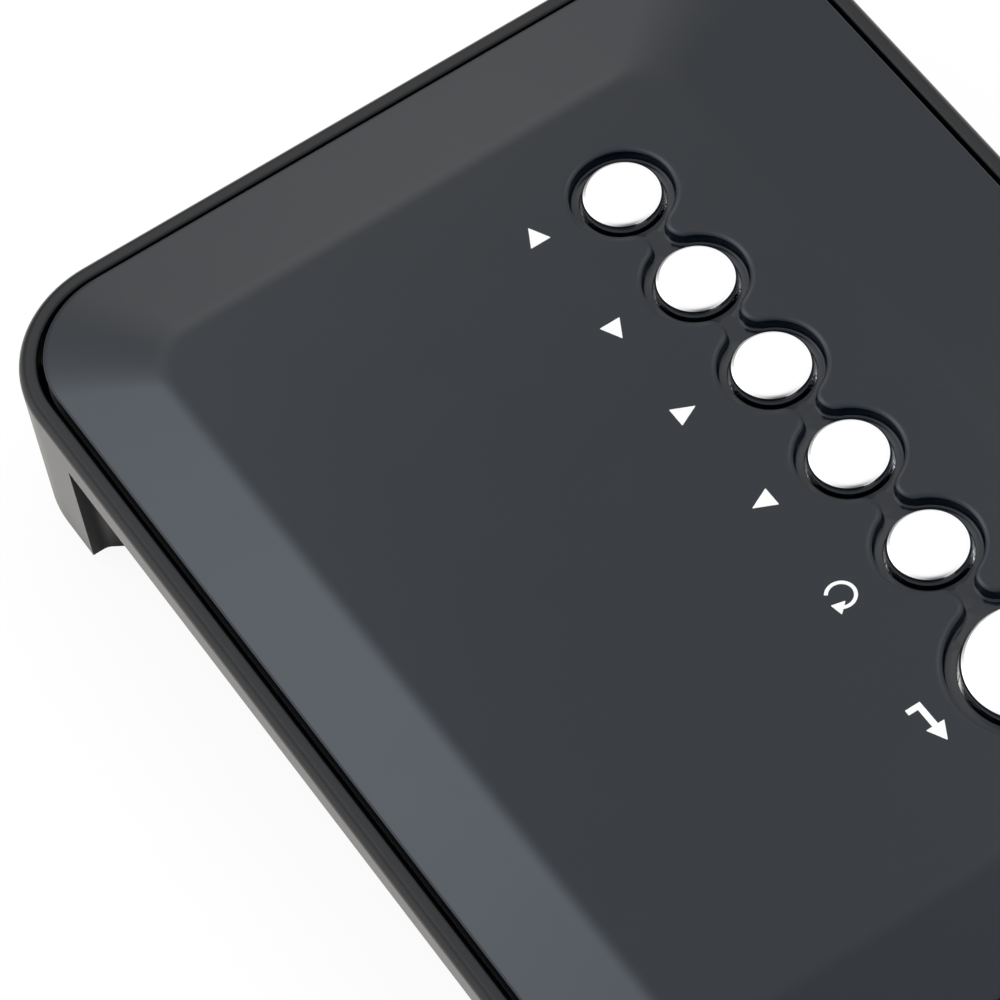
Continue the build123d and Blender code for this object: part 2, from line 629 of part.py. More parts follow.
def flat_cable():
    """Ribbon that leaves the key board, turns back under itself and enters the main board."""
    low, top = CABLE_LOW_Z, CABLE_TOP_Z
    bend = (top - low) / 2
    start = KEY_CONNECTOR_Y
    end = CABLE_TURN_Y - CABLE_RUN_BACK - CONNECTOR_DEPTH / 2
    path = Line((start, top), (CABLE_TURN_Y, top))
    path += ThreePointArc(
        (CABLE_TURN_Y, top), (CABLE_TURN_Y + bend, (top + low) / 2), (CABLE_TURN_Y, low)
    )
    path += Line((CABLE_TURN_Y, low), (end, low))
    strip = trace(path, CABLE_THICKNESS)
    plane = Plane(
        origin=(CABLE_X - CABLE_WIDTH / 2, 0, 0), x_dir=(0, 1, 0), z_dir=(1, 0, 0)
    )
    return extrude(plane * strip, CABLE_WIDTH)


# Main board


def main_board():
    depth = BOARD_REAR_Y - BOARD_FRONT_Y
    centre_y = (BOARD_REAR_Y + BOARD_FRONT_Y) / 2
    board = slab(0, centre_y, BOARD_WIDTH, depth, BOARD_Z, BOARD_TOP_Z)
    for x, y in BOSSES:
        board -= post(x, y, BOSS_RADIUS + BOARD_BOSS_CLEARANCE, BOARD_Z, BOARD_TOP_Z)
    for x, y in STANDOFFS:
        board -= post(x, y, BOARD_SCREW_RADIUS + SCREW_FIT, BOARD_Z, BOARD_TOP_Z)
    return board


def chip(x, y, width, depth, height):
    return slab(x, y, width, depth, BOARD_TOP_Z, BOARD_TOP_Z + height)


def heat_sink():
    """Base plate with upright fins running front to rear."""
    sink = slab(PROCESSOR_X, PROCESSOR_Y, SINK_WIDTH, SINK_DEPTH, SINK_Z, SINK_Z + SINK_BASE)
    pitch = (SINK_WIDTH - SINK_FIN_THICKNESS) / (SINK_FIN_COUNT - 1)
    for index in range(SINK_FIN_COUNT):
        x = PROCESSOR_X + (index - (SINK_FIN_COUNT - 1) / 2) * pitch
        fin_z = SINK_Z + SINK_BASE
        sink += slab(
            x, PROCESSOR_Y, SINK_FIN_THICKNESS, SINK_DEPTH, fin_z, fin_z + SINK_FIN_HEIGHT
        )
    return sink


def capacitor(index):
    """Can with a pinched neck above a square base."""
    x, y = CAPACITOR_X, CAPACITOR_Y + index * CAPACITOR_PITCH
    can_z = BOARD_TOP_Z + CAPACITOR_BASE
    top_z = BOARD_TOP_Z + CAPACITOR_HEIGHT
    shape = chip(x, y, 2 * CAPACITOR_RADIUS, 2 * CAPACITOR_RADIUS, CAPACITOR_BASE)
    shape += post(x, y, CAPACITOR_RADIUS - CAPACITOR_NECK, can_z, can_z + CAPACITOR_BASE)
    return shape + post(x, y, CAPACITOR_RADIUS, can_z + CAPACITOR_BASE, top_z)


def regulator():
    y = CAPACITOR_Y + REGULATOR_SHIFT_Y
    body = chip(COIL_X, y, REGULATOR_WIDTH, REGULATOR_DEPTH, REGULATOR_HEIGHT)
    tab_y = y - REGULATOR_DEPTH / 2 - REGULATOR_TAB / 2
    return body + chip(COIL_X, tab_y, REGULATOR_TAB_WIDTH, REGULATOR_TAB, REGULATOR_TAB_THICKNESS)


def crystal():
    """Flat-sided can with round ends."""
    place = Pos(PROCESSOR_X - CRYSTAL_STEP_X, PROCESSOR_Y + CRYSTAL_STEP_Y, BOARD_TOP_Z)
    return extrude(place * SlotOverall(CRYSTAL_LENGTH, CRYSTAL_WIDTH), CRYSTAL_HEIGHT)


# Sockets


def rear_plane(x, height):
    """Mouth of a rear socket that stands on the main board, looking inwards."""
    z = BOARD_TOP_Z + height / 2
    return Plane(origin=(x, REAR_MOUTH_Y, z), x_dir=(1, 0, 0), z_dir=(0, -1, 0))


def side_plane(y, height):
    """Mouth of a socket in the right wall, looking inwards."""
    z = BOARD_TOP_Z + height / 2
    return Plane(origin=(SIDE_MOUTH_X, y, z), x_dir=(0, -1, 0), z_dir=(-1, 0, 0))


def sheet_socket(plane, profile, length):
    """Folded sheet tube, closed at its back."""
    inner = extrude(plane * offset(profile, -SOCKET_SHEET), length - SOCKET_SHEET)
    return extrude(plane * profile, length) - inner


def tongue(plane, width, thickness, rise, length):
    """Contact carrier from the back of a socket almost to its mouth."""
    reach = length - SOCKET_SHEET - SOCKET_LEAD
    middle = SOCKET_LEAD + reach / 2
    return plane * Pos(0, rise, middle) * Box(width, thickness, reach)


def hdmi_profile():
    half_width, half_height = HDMI_WIDTH / 2, HDMI_HEIGHT / 2
    return make_face(Polyline(
        (-half_width, half_height), (half_width, half_height),
        (half_width, HDMI_CHAMFER - half_height), (half_width - HDMI_CHAMFER, -half_height),
        (HDMI_CHAMFER - half_width, -half_height), (-half_width, HDMI_CHAMFER - half_height),
        close=True,
    ))


def hdmi_shell():
    return sheet_socket(rear_plane(HDMI_X, HDMI_HEIGHT), hdmi_profile(), HDMI_LENGTH)


def hdmi_tongue():
    plane = rear_plane(HDMI_X, HDMI_HEIGHT)
    return tongue(plane, HDMI_TONGUE_WIDTH, HDMI_TONGUE_THICKNESS, 0, HDMI_LENGTH)


def usb_shell(plane):
    return sheet_socket(plane, Rectangle(USB_WIDTH, USB_HEIGHT), USB_LENGTH)


def usb_tongue(plane):
    return tongue(plane, USB_TONGUE_WIDTH, USB_TONGUE_THICKNESS, USB_TONGUE_RISE, USB_LENGTH)


def round_jack(plane, size, length, nozzle_radius, bore_radius, bore_length):
    """Block behind the wall with a bored nozzle that reaches out through it."""
    width, height = size
    shape = plane * Pos(0, 0, WALL + length / 2) * Box(width, height, length)
    shape += plane * Pos(0, 0, WALL / 2) * Cylinder(nozzle_radius, WALL)
    return shape - plane * Pos(0, 0, bore_length / 2) * Cylinder(bore_radius, bore_length)


def signal_jack(x):
    return round_jack(rear_plane(x, JACK_HEIGHT), (JACK_WIDTH, JACK_HEIGHT), JACK_LENGTH,
                      JACK_NOZZLE_RADIUS, JACK_BORE_RADIUS, JACK_BORE_LENGTH)


def dc_jack():
    return round_jack(rear_plane(DC_X, DC_HEIGHT), (DC_WIDTH, DC_HEIGHT), DC_LENGTH,
                      DC_NOZZLE_RADIUS, DC_BORE_RADIUS, DC_BORE_LENGTH)


def dc_pin():
    reach = DC_BORE_LENGTH - DC_PIN_SETBACK
    place = rear_plane(DC_X, DC_HEIGHT) * Pos(0, 0, DC_PIN_SETBACK + reach / 2)
    return place * Cylinder(DC_PIN_RADIUS, reach)


def card_shell():
    """Sheet cover of the card slot: a roof, two sides and a back."""
    plane = side_plane(CARD_SLOT_Y, CARD_HEIGHT)
    cover = plane * Pos(0, 0, CARD_LENGTH / 2) * Box(CARD_WIDTH, CARD_HEIGHT, CARD_LENGTH)
    inner_length = CARD_LENGTH - SOCKET_SHEET
    return cover - plane * Pos(0, -SOCKET_SHEET, inner_length / 2) * Box(
        CARD_WIDTH - 2 * SOCKET_SHEET, CARD_HEIGHT, inner_length
    )


def card_base():
    """Plastic floor, side rails and contact block under the sheet cover."""
    plane = side_plane(CARD_SLOT_Y, CARD_HEIGHT)
    width = CARD_WIDTH - 2 * SOCKET_SHEET
    length = CARD_LENGTH - SOCKET_SHEET
    height = CARD_HEIGHT - SOCKET_SHEET
    base = plane * Pos(0, -SOCKET_SHEET / 2, length / 2) * Box(width, height, length)
    gap_length = length - CARD_BLOCK
    gap_height = height - CARD_BASE_THICKNESS
    rise = (CARD_BASE_THICKNESS - SOCKET_SHEET) / 2
    return base - plane * Pos(0, rise, gap_length / 2) * Box(
        width - 2 * CARD_SIDE, gap_height, gap_length
    )


# Front


def front_plane(x, y):
    """Looks inwards from the front."""
    return Plane(origin=(x, y, FRONT_PARTS_Z), x_dir=(-1, 0, 0), z_dir=(0, 1, 0))


def ir_window():
    """Dark window set flush in the front wall, with a flange behind the wall."""
    face = RectangleRounded(WINDOW_WIDTH, WINDOW_HEIGHT, WINDOW_CORNER_RADIUS)
    flange = Rectangle(WINDOW_WIDTH + 2 * WINDOW_FLANGE, WINDOW_HEIGHT + 2 * WINDOW_FLANGE)
    inside = front_plane(WINDOW_X, WALL - HALF_DEPTH)
    window = extrude(front_plane(WINDOW_X, -HALF_DEPTH) * face, WALL)
    return window + extrude(inside * flange, WINDOW_FLANGE_THICKNESS)


def ir_receiver():
    """Upright block on the board with a rounded lens towards the window."""
    lens_y = WALL + WINDOW_FLANGE_THICKNESS + RECEIVER_GAP + RECEIVER_LENS_RADIUS - HALF_DEPTH
    top_z = 2 * FRONT_PARTS_Z - BOARD_TOP_Z
    body = slab(
        WINDOW_X, lens_y + RECEIVER_DEPTH / 2, RECEIVER_WIDTH, RECEIVER_DEPTH, BOARD_TOP_Z, top_z
    )
    return body + post(WINDOW_X, lens_y, RECEIVER_LENS_RADIUS, BOARD_TOP_Z + RECEIVER_FOOT, top_z)


def light_pipe():
    return rod_y(
        LIGHT_X, FRONT_PARTS_Z, LIGHT_PIPE_RADIUS, -HALF_DEPTH, LIGHT_PIPE_LENGTH - HALF_DEPTH
    )


def power_led():
    """Lamp with a tapered tip on a foot, just behind the light pipe."""
    start = LIGHT_PIPE_LENGTH + LED_GAP - HALF_DEPTH
    end = start + LED_LENGTH
    lamp = rod_y(LIGHT_X, FRONT_PARTS_Z, LED_RADIUS, start, end)
    lamp = chamfer(lamp.faces().sort_by(Axis.Y)[0].edges(), LED_TIP_BREAK)
    foot_y = end - LED_POST_DEPTH / 2
    return lamp + slab(
        LIGHT_X, foot_y, 2 * LED_RADIUS, LED_POST_DEPTH, BOARD_TOP_Z, FRONT_PARTS_Z
    )


# Bottom


def cover_plan(inset, z):
    """Inside of the case walls, less the rear bay."""
    plan = body_outline(WALL + SEAT_CLEARANCE + inset, z)
    notch_y = BAY_INNER_Y - SEAT_CLEARANCE - inset
    notch_width = BAY_WIDTH + 2 * (WALL + SEAT_CLEARANCE + inset)
    return plan - Pos(0, notch_y + BAY_DEPTH, z) * Rectangle(notch_width, 2 * BAY_DEPTH)


def bottom_cover():
    """Floor plate with a locating rim, screw pads, board standoffs, vents and foot recesses."""
    cover = extrude(cover_plan(0, FOOT_STAND), FLOOR_THICKNESS + FLOOR_RIM_HEIGHT)
    cover -= extrude(cover_plan(FLOOR_RIM_THICKNESS, FLOOR_Z), FLOOR_RIM_HEIGHT)
    pads = Part()
    for x, y in BOSSES:
        pads += post(x, y, BOSS_RADIUS + BOARD_BOSS_CLEARANCE, FLOOR_Z, BOSS_Z)
    cover += pads & extrude(cover_plan(0, FLOOR_Z), BOSS_SOCKET_HEIGHT)
    for x, y in STANDOFFS:
        cover += post(x, y, STANDOFF_RADIUS, FLOOR_Z, BOARD_Z)
    for x, y in STANDOFFS:
        cover -= post(x, y, BOARD_SCREW_RADIUS + SCREW_FIT, BOARD_TOP_Z - BOARD_SCREW_LENGTH,
                      BOARD_Z)
    recess = CASE_SCREW_HEAD_RADIUS + RECESS_MARGIN
    for x, y in BOSSES:
        cover -= post(x, y, recess, FOOT_STAND, FOOT_STAND + CASE_SCREW_RECESS)
        cover -= post(x, y, CASE_SCREW_RADIUS + SCREW_FIT, FOOT_STAND, BOSS_Z)
    for side, end in FEET.values():
        x, y = foot_place(side, end)
        cover -= post(x, y, FOOT_RADIUS + SEAT_CLEARANCE, FOOT_STAND, FOOT_STAND + FOOT_SUNK)
    for index in range(VENT_COUNT):
        x = PROCESSOR_X + (index - (VENT_COUNT - 1) / 2) * VENT_PITCH
        cover -= slab(x, VENT_CENTRE_Y, VENT_WIDTH, VENT_LENGTH, FOOT_STAND, FLOOR_Z)
    label = slab(0, LABEL_Y, LABEL_WIDTH, LABEL_DEPTH, FOOT_STAND, FOOT_STAND + LABEL_RECESS)
    return cover - label


def foot_place(side, end):
    return side * (HALF_WIDTH - FOOT_INSET_X), end * (HALF_DEPTH - FOOT_INSET_Y)


def foot(side, end):
    """Rubber disc with a bevelled lower edge."""
    x, y = foot_place(side, end)
    disc = post(x, y, FOOT_RADIUS, 0, FOOT_STAND + FOOT_SUNK)
    return chamfer(disc.faces().sort_by(Axis.Z)[0].edges(), FOOT_EDGE_BREAK)


def case_screws():
    """Cross-recess screws from below, one in each corner."""
    seat = FOOT_STAND + CASE_SCREW_RECESS
    face = seat - CASE_SCREW_HEAD_HEIGHT
    cross = 2 * CASE_SCREW_HEAD_RADIUS * SCREW_CROSS_SHARE
    screws = []
    for x, y in BOSSES:
        shape = screw(x, y, seat, CASE_SCREW_LENGTH, CASE_SCREW_RADIUS,
                      CASE_SCREW_HEAD_RADIUS, CASE_SCREW_HEAD_HEIGHT, 1)
        shape -= slab(x, y, cross, SCREW_SLOT_WIDTH, face, face + SCREW_SLOT_DEPTH)
        shape -= slab(x, y, SCREW_SLOT_WIDTH, cross, face, face + SCREW_SLOT_DEPTH)
        screws.append(shape)
    return screws


def board_screws():
    return [
        screw(x, y, BOARD_TOP_Z, BOARD_SCREW_LENGTH, BOARD_SCREW_RADIUS,
              BOARD_SCREW_HEAD_RADIUS, BOARD_SCREW_HEAD_HEIGHT, -1)
        for x, y in STANDOFFS
    ]


def case_nodes():
    nodes = {
        "upper_frame": upper_frame(),
        "top_panel": top_panel(),
        "bottom_cover": bottom_cover(),
        "ir_window": ir_window(),
        "light_pipe": light_pipe(),
        "case_screws": Compound(children=case_screws()),
    }
    for name, (side, end) in FEET.items():
        nodes[name] = foot(side, end)
    return nodes


def button_nodes():
    nodes = {
        "key_board": key_board(),
        "key_board_screws": Compound(children=key_board_screws()),
        "key_board_connector": connector(KEY_CONNECTOR_Y, KEY_BOARD_TOP_Z),
        "flat_cable": flat_cable(),
    }
    for name, x, radius, _ in BUTTONS:
        nodes[name + "_button"] = button_cap(x, radius)
        nodes[name + "_plunger"] = plunger(x)
        nodes[name + "_switch"] = switch(x)
    return nodes


def socket_nodes():
    rear_usb = rear_plane(REAR_USB_X, USB_HEIGHT)
    side_usb = side_plane(SIDE_USB_Y, USB_HEIGHT)
    return {
        "dc_jack": dc_jack(),
        "dc_pin": dc_pin(),
        "hdmi_shell": hdmi_shell(),
        "hdmi_tongue": hdmi_tongue(),
        "component_jack": signal_jack(COMPONENT_X),
        "av_jack": signal_jack(AV_X),
        "rear_usb_shell": usb_shell(rear_usb),
        "rear_usb_tongue": usb_tongue(rear_usb),
        "side_usb_shell": usb_shell(side_usb),
        "side_usb_tongue": usb_tongue(side_usb),
        "card_shell": card_shell(),
        "card_base": card_base(),
    }


def board_nodes():
    pad_z = BOARD_TOP_Z + PROCESSOR_HEIGHT
    return {
        "main_board": main_board(),
        "board_screws": Compound(children=board_screws()),
        "main_board_connector": connector(CABLE_TURN_Y - CABLE_RUN_BACK - CONNECTOR_DEPTH / 2,
                                          BOARD_TOP_Z),
        "processor": chip(PROCESSOR_X, PROCESSOR_Y, PROCESSOR_SIZE, PROCESSOR_SIZE,
                          PROCESSOR_HEIGHT),
        "thermal_pad": slab(PROCESSOR_X, PROCESSOR_Y, PROCESSOR_SIZE, PROCESSOR_SIZE, pad_z,
                            pad_z + PAD_THICKNESS),
        "heat_sink": heat_sink(),
        "front_memory_chip": chip(MEMORY_X, REAR_MEMORY_Y - MEMORY_PITCH_Y, MEMORY_WIDTH,
                                  MEMORY_DEPTH, MEMORY_HEIGHT),
        "rear_memory_chip": chip(MEMORY_X, REAR_MEMORY_Y, MEMORY_WIDTH, MEMORY_DEPTH,
                                 MEMORY_HEIGHT),
        "flash_chip": chip(FLASH_X, FLASH_Y, FLASH_WIDTH, FLASH_DEPTH, FLASH_HEIGHT),
        "crystal": crystal(),
        "input_capacitor": capacitor(0),
        "output_capacitor": capacitor(1),
        "inductor": chip(COIL_X, CAPACITOR_Y + INDUCTOR_SHIFT_Y, INDUCTOR_SIZE, INDUCTOR_SIZE,
                         INDUCTOR_HEIGHT),
        "regulator": regulator(),
        "ir_receiver": ir_receiver(),
        "power_led": power_led(),
    }


os.makedirs("parts", exist_ok=True)
for node, shape in {**case_nodes(), **button_nodes(), **socket_nodes(), **board_nodes()}.items():
    export_step(shape, f"parts/{node}.step")
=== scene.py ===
"""Small media player, dressed for rendering: the pieces that show, their finishes and a plain studio.

Everything is in metres, in the frame of the packed solids: Z up, the plugs at +Y.
"""
import json
import math

import bmesh
import bpy
from bpy.props import FloatProperty, FloatVectorProperty, PointerProperty
from mathutils import Matrix, Vector


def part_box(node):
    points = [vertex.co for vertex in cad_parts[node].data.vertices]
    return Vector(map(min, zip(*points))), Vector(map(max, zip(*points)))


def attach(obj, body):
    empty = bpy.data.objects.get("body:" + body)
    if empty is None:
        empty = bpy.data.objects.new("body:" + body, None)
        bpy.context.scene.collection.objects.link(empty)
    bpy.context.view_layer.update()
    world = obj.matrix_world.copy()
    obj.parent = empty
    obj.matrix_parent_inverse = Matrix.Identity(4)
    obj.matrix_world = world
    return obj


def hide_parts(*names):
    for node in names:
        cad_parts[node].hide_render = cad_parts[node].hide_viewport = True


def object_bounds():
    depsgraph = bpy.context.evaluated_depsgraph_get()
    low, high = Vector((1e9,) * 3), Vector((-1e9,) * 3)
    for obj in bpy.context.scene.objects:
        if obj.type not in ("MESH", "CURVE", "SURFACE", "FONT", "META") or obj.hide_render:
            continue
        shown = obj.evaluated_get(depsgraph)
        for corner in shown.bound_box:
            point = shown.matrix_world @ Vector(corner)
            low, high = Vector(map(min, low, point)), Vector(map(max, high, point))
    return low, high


bl_info = {
    "name": "Media player",
    "version": (1, 0, 0),
    "blender": (4, 5, 0),
    "location": "3D View > Sidebar > Player",
    "description": "Builds the pieces, finishes and studio of a small media player",
    "category": "Object",
}

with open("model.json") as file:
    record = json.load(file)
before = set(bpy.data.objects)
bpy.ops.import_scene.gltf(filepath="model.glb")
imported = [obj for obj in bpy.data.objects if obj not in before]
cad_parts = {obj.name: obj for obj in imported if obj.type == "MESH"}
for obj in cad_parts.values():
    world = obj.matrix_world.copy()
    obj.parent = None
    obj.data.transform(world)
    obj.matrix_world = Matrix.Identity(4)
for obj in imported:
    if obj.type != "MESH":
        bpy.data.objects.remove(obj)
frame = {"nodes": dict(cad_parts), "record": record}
CAD_BOX = [list(corner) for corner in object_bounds()]

MM = 0.001
MERGE = 0.001 * MM            # vertices closer than this are one
QUARTER = math.pi / 2
CASE_BODY = "case"
BUTTONS = ("right", "left", "down", "up", "return", "ok")
CORNER_STEPS = 24             # facets round a quarter turn of the case
TURN_STEPS = 64               # facets round a turned piece
Z_AXIS = Vector((0, 0, 1))
SMOOTH_BELOW = math.radians(32)
OVERLAP = 0.1 * MM            # how far a rib, post or peg reaches into what carries it

# Fixings, whose sizes follow the screws

BAY_ROOF = 0.2 * MM           # from the gutter down to the block of the bay
BOSS_RADIUS = 3.2 * MM
BOSS_FOOT = 3.8 * MM          # above the lower edge of the case
BOSS_REACH = 8.2 * MM         # outwards from the centre of the case's corner
BOSS_BORE = 1.15 * MM
BORE_MIDDLE = 4.4 * MM        # above the foot of the boss
BORE_HALF = 4.6 * MM          # half the length of that bore
POST_RADIUS = 2.5 * MM
POST_BORE = 0.95 * MM
POST_BORE_DEPTH = 5 * MM
POST_RIGHT = 9.2 * MM         # from the first button outwards
POST_BACK = 6.6 * MM          # from the row of buttons backwards
POST_LEFT = 11.6 * MM         # from the large button outwards
PEG_Y = 23 * MM               # pegs of the panel, before and behind the middle
PEG_INSET = 1.1 * MM          # from the side of the panel
PEG_RADIUS = 0.9 * MM
PEG_LENGTH = 1.4 * MM
PEG_CHAMFER = 0.2 * MM
PEG_BORE = 1.05 * MM
PEG_BORE_HALF = 2 * MM

# Openings in the walls

THROUGH = 4 * MM              # how far a cut goes to either side of the wall's face
SOCKET_CORNER = 0.35 * MM
HDMI_CHAMFER = 2.08 * MM
SMALL_JACK = 2.7 * MM         # radius of the round sockets for sound and picture
POWER_JACK = 3.0 * MM
FRONT_GAP = 0.15 * MM         # air round the window and the light pipe
WINDOW_FLANGE = 1.2 * MM      # how far the window reaches behind the wall
WINDOW_CORNER = 1.4 * MM

# Viewpoint of the picture: over the rear left corner, looking down at the panel

CAMERA_RIGHT = Vector((-0.5408, -0.8339, -0.1100))
CAMERA_BACK = Vector((-0.52297, 0.23094, 0.82047))
CAMERA_PLACE = Vector((-0.27197, 0.14140, 0.46739))
CAMERA_LENS, CAMERA_FILM = 205.6, 36.0    # millimetres


# Sizes and colours that a user would change


def length(name, description, default):
    """A size in metres."""
    return FloatProperty(
        name=name, description=description, default=default, min=0.0, unit="LENGTH", precision=5
    )


def brightness(name, description, default, most=10.0):
    """Strength of a light or a shade, where 1 is white."""
    return FloatProperty(name=name, description=description, default=default, min=0.0, max=most)


def colour(name, description, default):
    """A colour as the finish is written, before any light falls on it."""
    return FloatVectorProperty(
        name=name, description=description, default=default, size=3, min=0.0, max=1.0,
        subtype="COLOR",
    )


class CaseSizes(bpy.types.PropertyGroup):
    """Moulded case"""

    corner_radius: length("Corner radius", "Outside corners seen from above", 13 * MM)
    wall: length("Wall", "Thickness of the case walls and width of the rim", 2 * MM)
    shoulder: length("Shoulder", "Rounding round the outside of the rim", 1.0 * MM)
    rim_edge: length("Rim edge", "Rounding round the inside of the rim", 0.4 * MM)
    ledge_width: length("Ledge width", "Shelf that the panel sits on", 3.4 * MM)
    ledge_thickness: length("Ledge thickness", "Thickness of that shelf", 1.4 * MM)
    gutter: length("Gutter", "Width and depth of the gutter under the groove", 0.6 * MM)
    bay_width: length("Bay width", "Recess in the rear wall for the plugs", 87.9 * MM)
    bay_depth: length("Bay depth", "How far the recess goes in", 4.5 * MM)
    bay_straight: length("Bay straight", "Square part of the recess's end walls", 1.7 * MM)
    bay_taper: length("Bay taper", "How far the slanted part draws in", 1.9 * MM)
    bay_ease: length("Bay ease", "Where the bends of the recess begin", 0.5 * MM)
    lip: length("Lip", "Height of the lip over the recess", 3.85 * MM)
    port_gap: length("Port gap", "Air round a socket in its opening", 0.3 * MM)
    edge: length("Edge", "Rounding of the other moulded edges", 0.12 * MM)


class PanelSizes(bpy.types.PropertyGroup):
    """Domed panel and its chain of pockets"""

    corner_radius: length("Corner radius", "Corners of the panel", 10.4 * MM)
    flat_radius: length("Flat radius", "Corners of the flat in the middle", 5.0 * MM)
    side_band: length("Side band", "Sloping border left and right of the flat", 11.65 * MM)
    rear_band: length("Rear band", "Sloping border behind the flat", 9.3 * MM)
    front_band: length("Front band", "Sloping border before the flat", 18.05 * MM)
    crown: length("Crown", "Height of the flat above the panel's edge", 1.2 * MM)
    skirt: length("Skirt", "Height of the panel's edge above its seat", 2.3 * MM)
    thickness: length("Thickness", "Thickness of the panel", 2 * MM)
    edge: length("Edge", "Rounding round the panel", 0.25 * MM)
    undercut: length("Undercut", "How far the skirt leans in below the edge", 0.9 * MM)
    crease: FloatProperty(
        name="Crease", description="Half the width of the soft bend, as a share of the border",
        default=0.09, min=0.01, max=0.4, subtype="FACTOR",
    )
    pocket_depth: length("Pocket depth", "Depth of the pockets round the caps", 1.4 * MM)
    pocket_roll: length("Pocket roll", "Soft roll of the flat towards a pocket", 0.5 * MM)
    pocket_drop: length("Pocket drop", "How far that roll goes down", 0.05 * MM)
    pocket_edge: length("Pocket edge", "Rounding from the roll into a pocket's wall", 0.2 * MM)
    pocket_foot: length("Pocket foot", "Rounding where a pocket's wall meets its floor", 0.3 * MM)
    small_floor: length("Small floor", "Ring of pocket floor round a small cap", 0.9 * MM)
    large_floor: length("Large floor", "Ring of pocket floor round the large cap", 1.2 * MM)
    neck_width: length("Neck width", "Channel between neighbouring pockets", 2.3 * MM)
    neck_fillet: length("Neck fillet", "Rounding where a channel opens", 1.85 * MM)
    mouth_gap: length("Mouth gap", "Air round a cap where it leaves its sleeve", 0.25 * MM)
    sleeve_wall: length("Sleeve wall", "Wall of the sleeve that guides a cap", 1.2 * MM)
    sleeve_length: length("Sleeve length", "Sleeve measured down from the flat", 4.6 * MM)


class CapSizes(bpy.types.PropertyGroup):
    """Plated button caps"""

    clearance: length("Clearance", "Air between a cap and its sleeve", 0.3 * MM)
    flange_width: length("Flange width", "Flange beyond the sleeve's bore", 0.9 * MM)
    flange_height: length("Flange height", "Thickness of the flange", 1.0 * MM)
    wall: length("Wall", "Wall of the hollow cap", 1.2 * MM)
    roof: length("Roof", "Thickness under the cap's face", 1.4 * MM)
    stem_radius: length("Stem radius", "Stem that presses the switch", 1.6 * MM)
    stem_proud: length("Stem proud", "How far the stem reaches below the flange", 0.4 * MM)
    rib: length("Rib", "Half the thickness of the ribs inside a cap", 0.4 * MM)
    edge: length("Edge", "Rounding round the cap's face", 0.7 * MM)
    dome: length("Dome", "Height of the cap's slightly domed face", 0.1 * MM)


class PrintSizes(bpy.types.PropertyGroup):
    """White symbols printed behind the buttons"""

    row: length("Row", "Distance of the symbols behind the buttons", 9.6 * MM)
    size: length("Size", "Width and length of a triangle", 2.32 * MM)
    stroke: length("Stroke", "Width of a printed line", 0.38 * MM)
    ink: length("Ink", "Thickness of the print", 0.02 * MM)


class Colours(bpy.types.PropertyGroup):
    """Colours of the finishes that show most"""

    case: colour("Case", "Grained plastic of the case", (0.0016, 0.0020, 0.0032))
    panel: colour("Panel", "Polished plastic of the panel", (0.0020, 0.0056, 0.0115))
    cap: colour("Cap", "Plating of the caps", (0.97, 0.97, 0.975))
    ink: colour("Ink", "Printed symbols", (0.93, 0.93, 0.92))
    rubber: colour("Rubber", "Feet", (0.016, 0.016, 0.017))
    board: colour("Board", "Lacquer of the circuit boards", (0.010, 0.085, 0.035))


class StudioSettings(bpy.types.PropertyGroup):
    """Light and background"""

    room: brightness("Room", "The white room", 1.02)
    rear_light: brightness("Rear light", "Added by the soft light behind", 3.15)
    side_light: brightness("Side light", "Added by the soft light on the right", 1.5)
    front_light: brightness("Front light", "Added by the soft light at the front right", 1.2)
    fill_light: brightness("Fill light", "Added by the low soft light at the rear right", 1.3)
    side_shade: brightness("Side shade", "Taken from the room low down on the right", 0.75, 0.95)
    camera_shade: brightness("Camera shade", "Taken from the room behind the camera", 0.85, 0.95)
    floor_glow: brightness("Floor glow", "The floor where the object mirrors it", 1.35)
    floor_size: length("Floor size", "Side of the floor", 6.0)


GROUPS = {
    "player_case": CaseSizes,
    "player_panel": PanelSizes,
    "player_caps": CapSizes,
    "player_print": PrintSizes,
    "player_colours": Colours,
    "player_studio": StudioSettings,
}


# Nodes of a material


class Shade:
    """An output of a node. Arithmetic on it adds Math nodes."""

    def __init__(self, tree, socket):
        self.tree = tree
        self.socket = socket

    def worked(self, operation, first, second):
        return self.tree.node("ShaderNodeMath", {"operation": operation}, {0: first, 1: second})

    def __add__(self, other):
        return self.worked("ADD", self, other)

    __radd__ = __add__

    def __sub__(self, other):
        return self.worked("SUBTRACT", self, other)

    def __rsub__(self, other):
        return self.worked("SUBTRACT", other, self)

    def __mul__(self, other):
        return self.worked("MULTIPLY", self, other)

    __rmul__ = __mul__

    def __pow__(self, other):
        return self.worked("POWER", self, other)

    def above(self, other):
        return self.worked("GREATER_THAN", self, other)

    def at_least(self, other):
        return self.worked("MAXIMUM", self, other)

    def size(self):
        return self.tree.node("ShaderNodeMath", {"operation": "ABSOLUTE"}, {0: self})


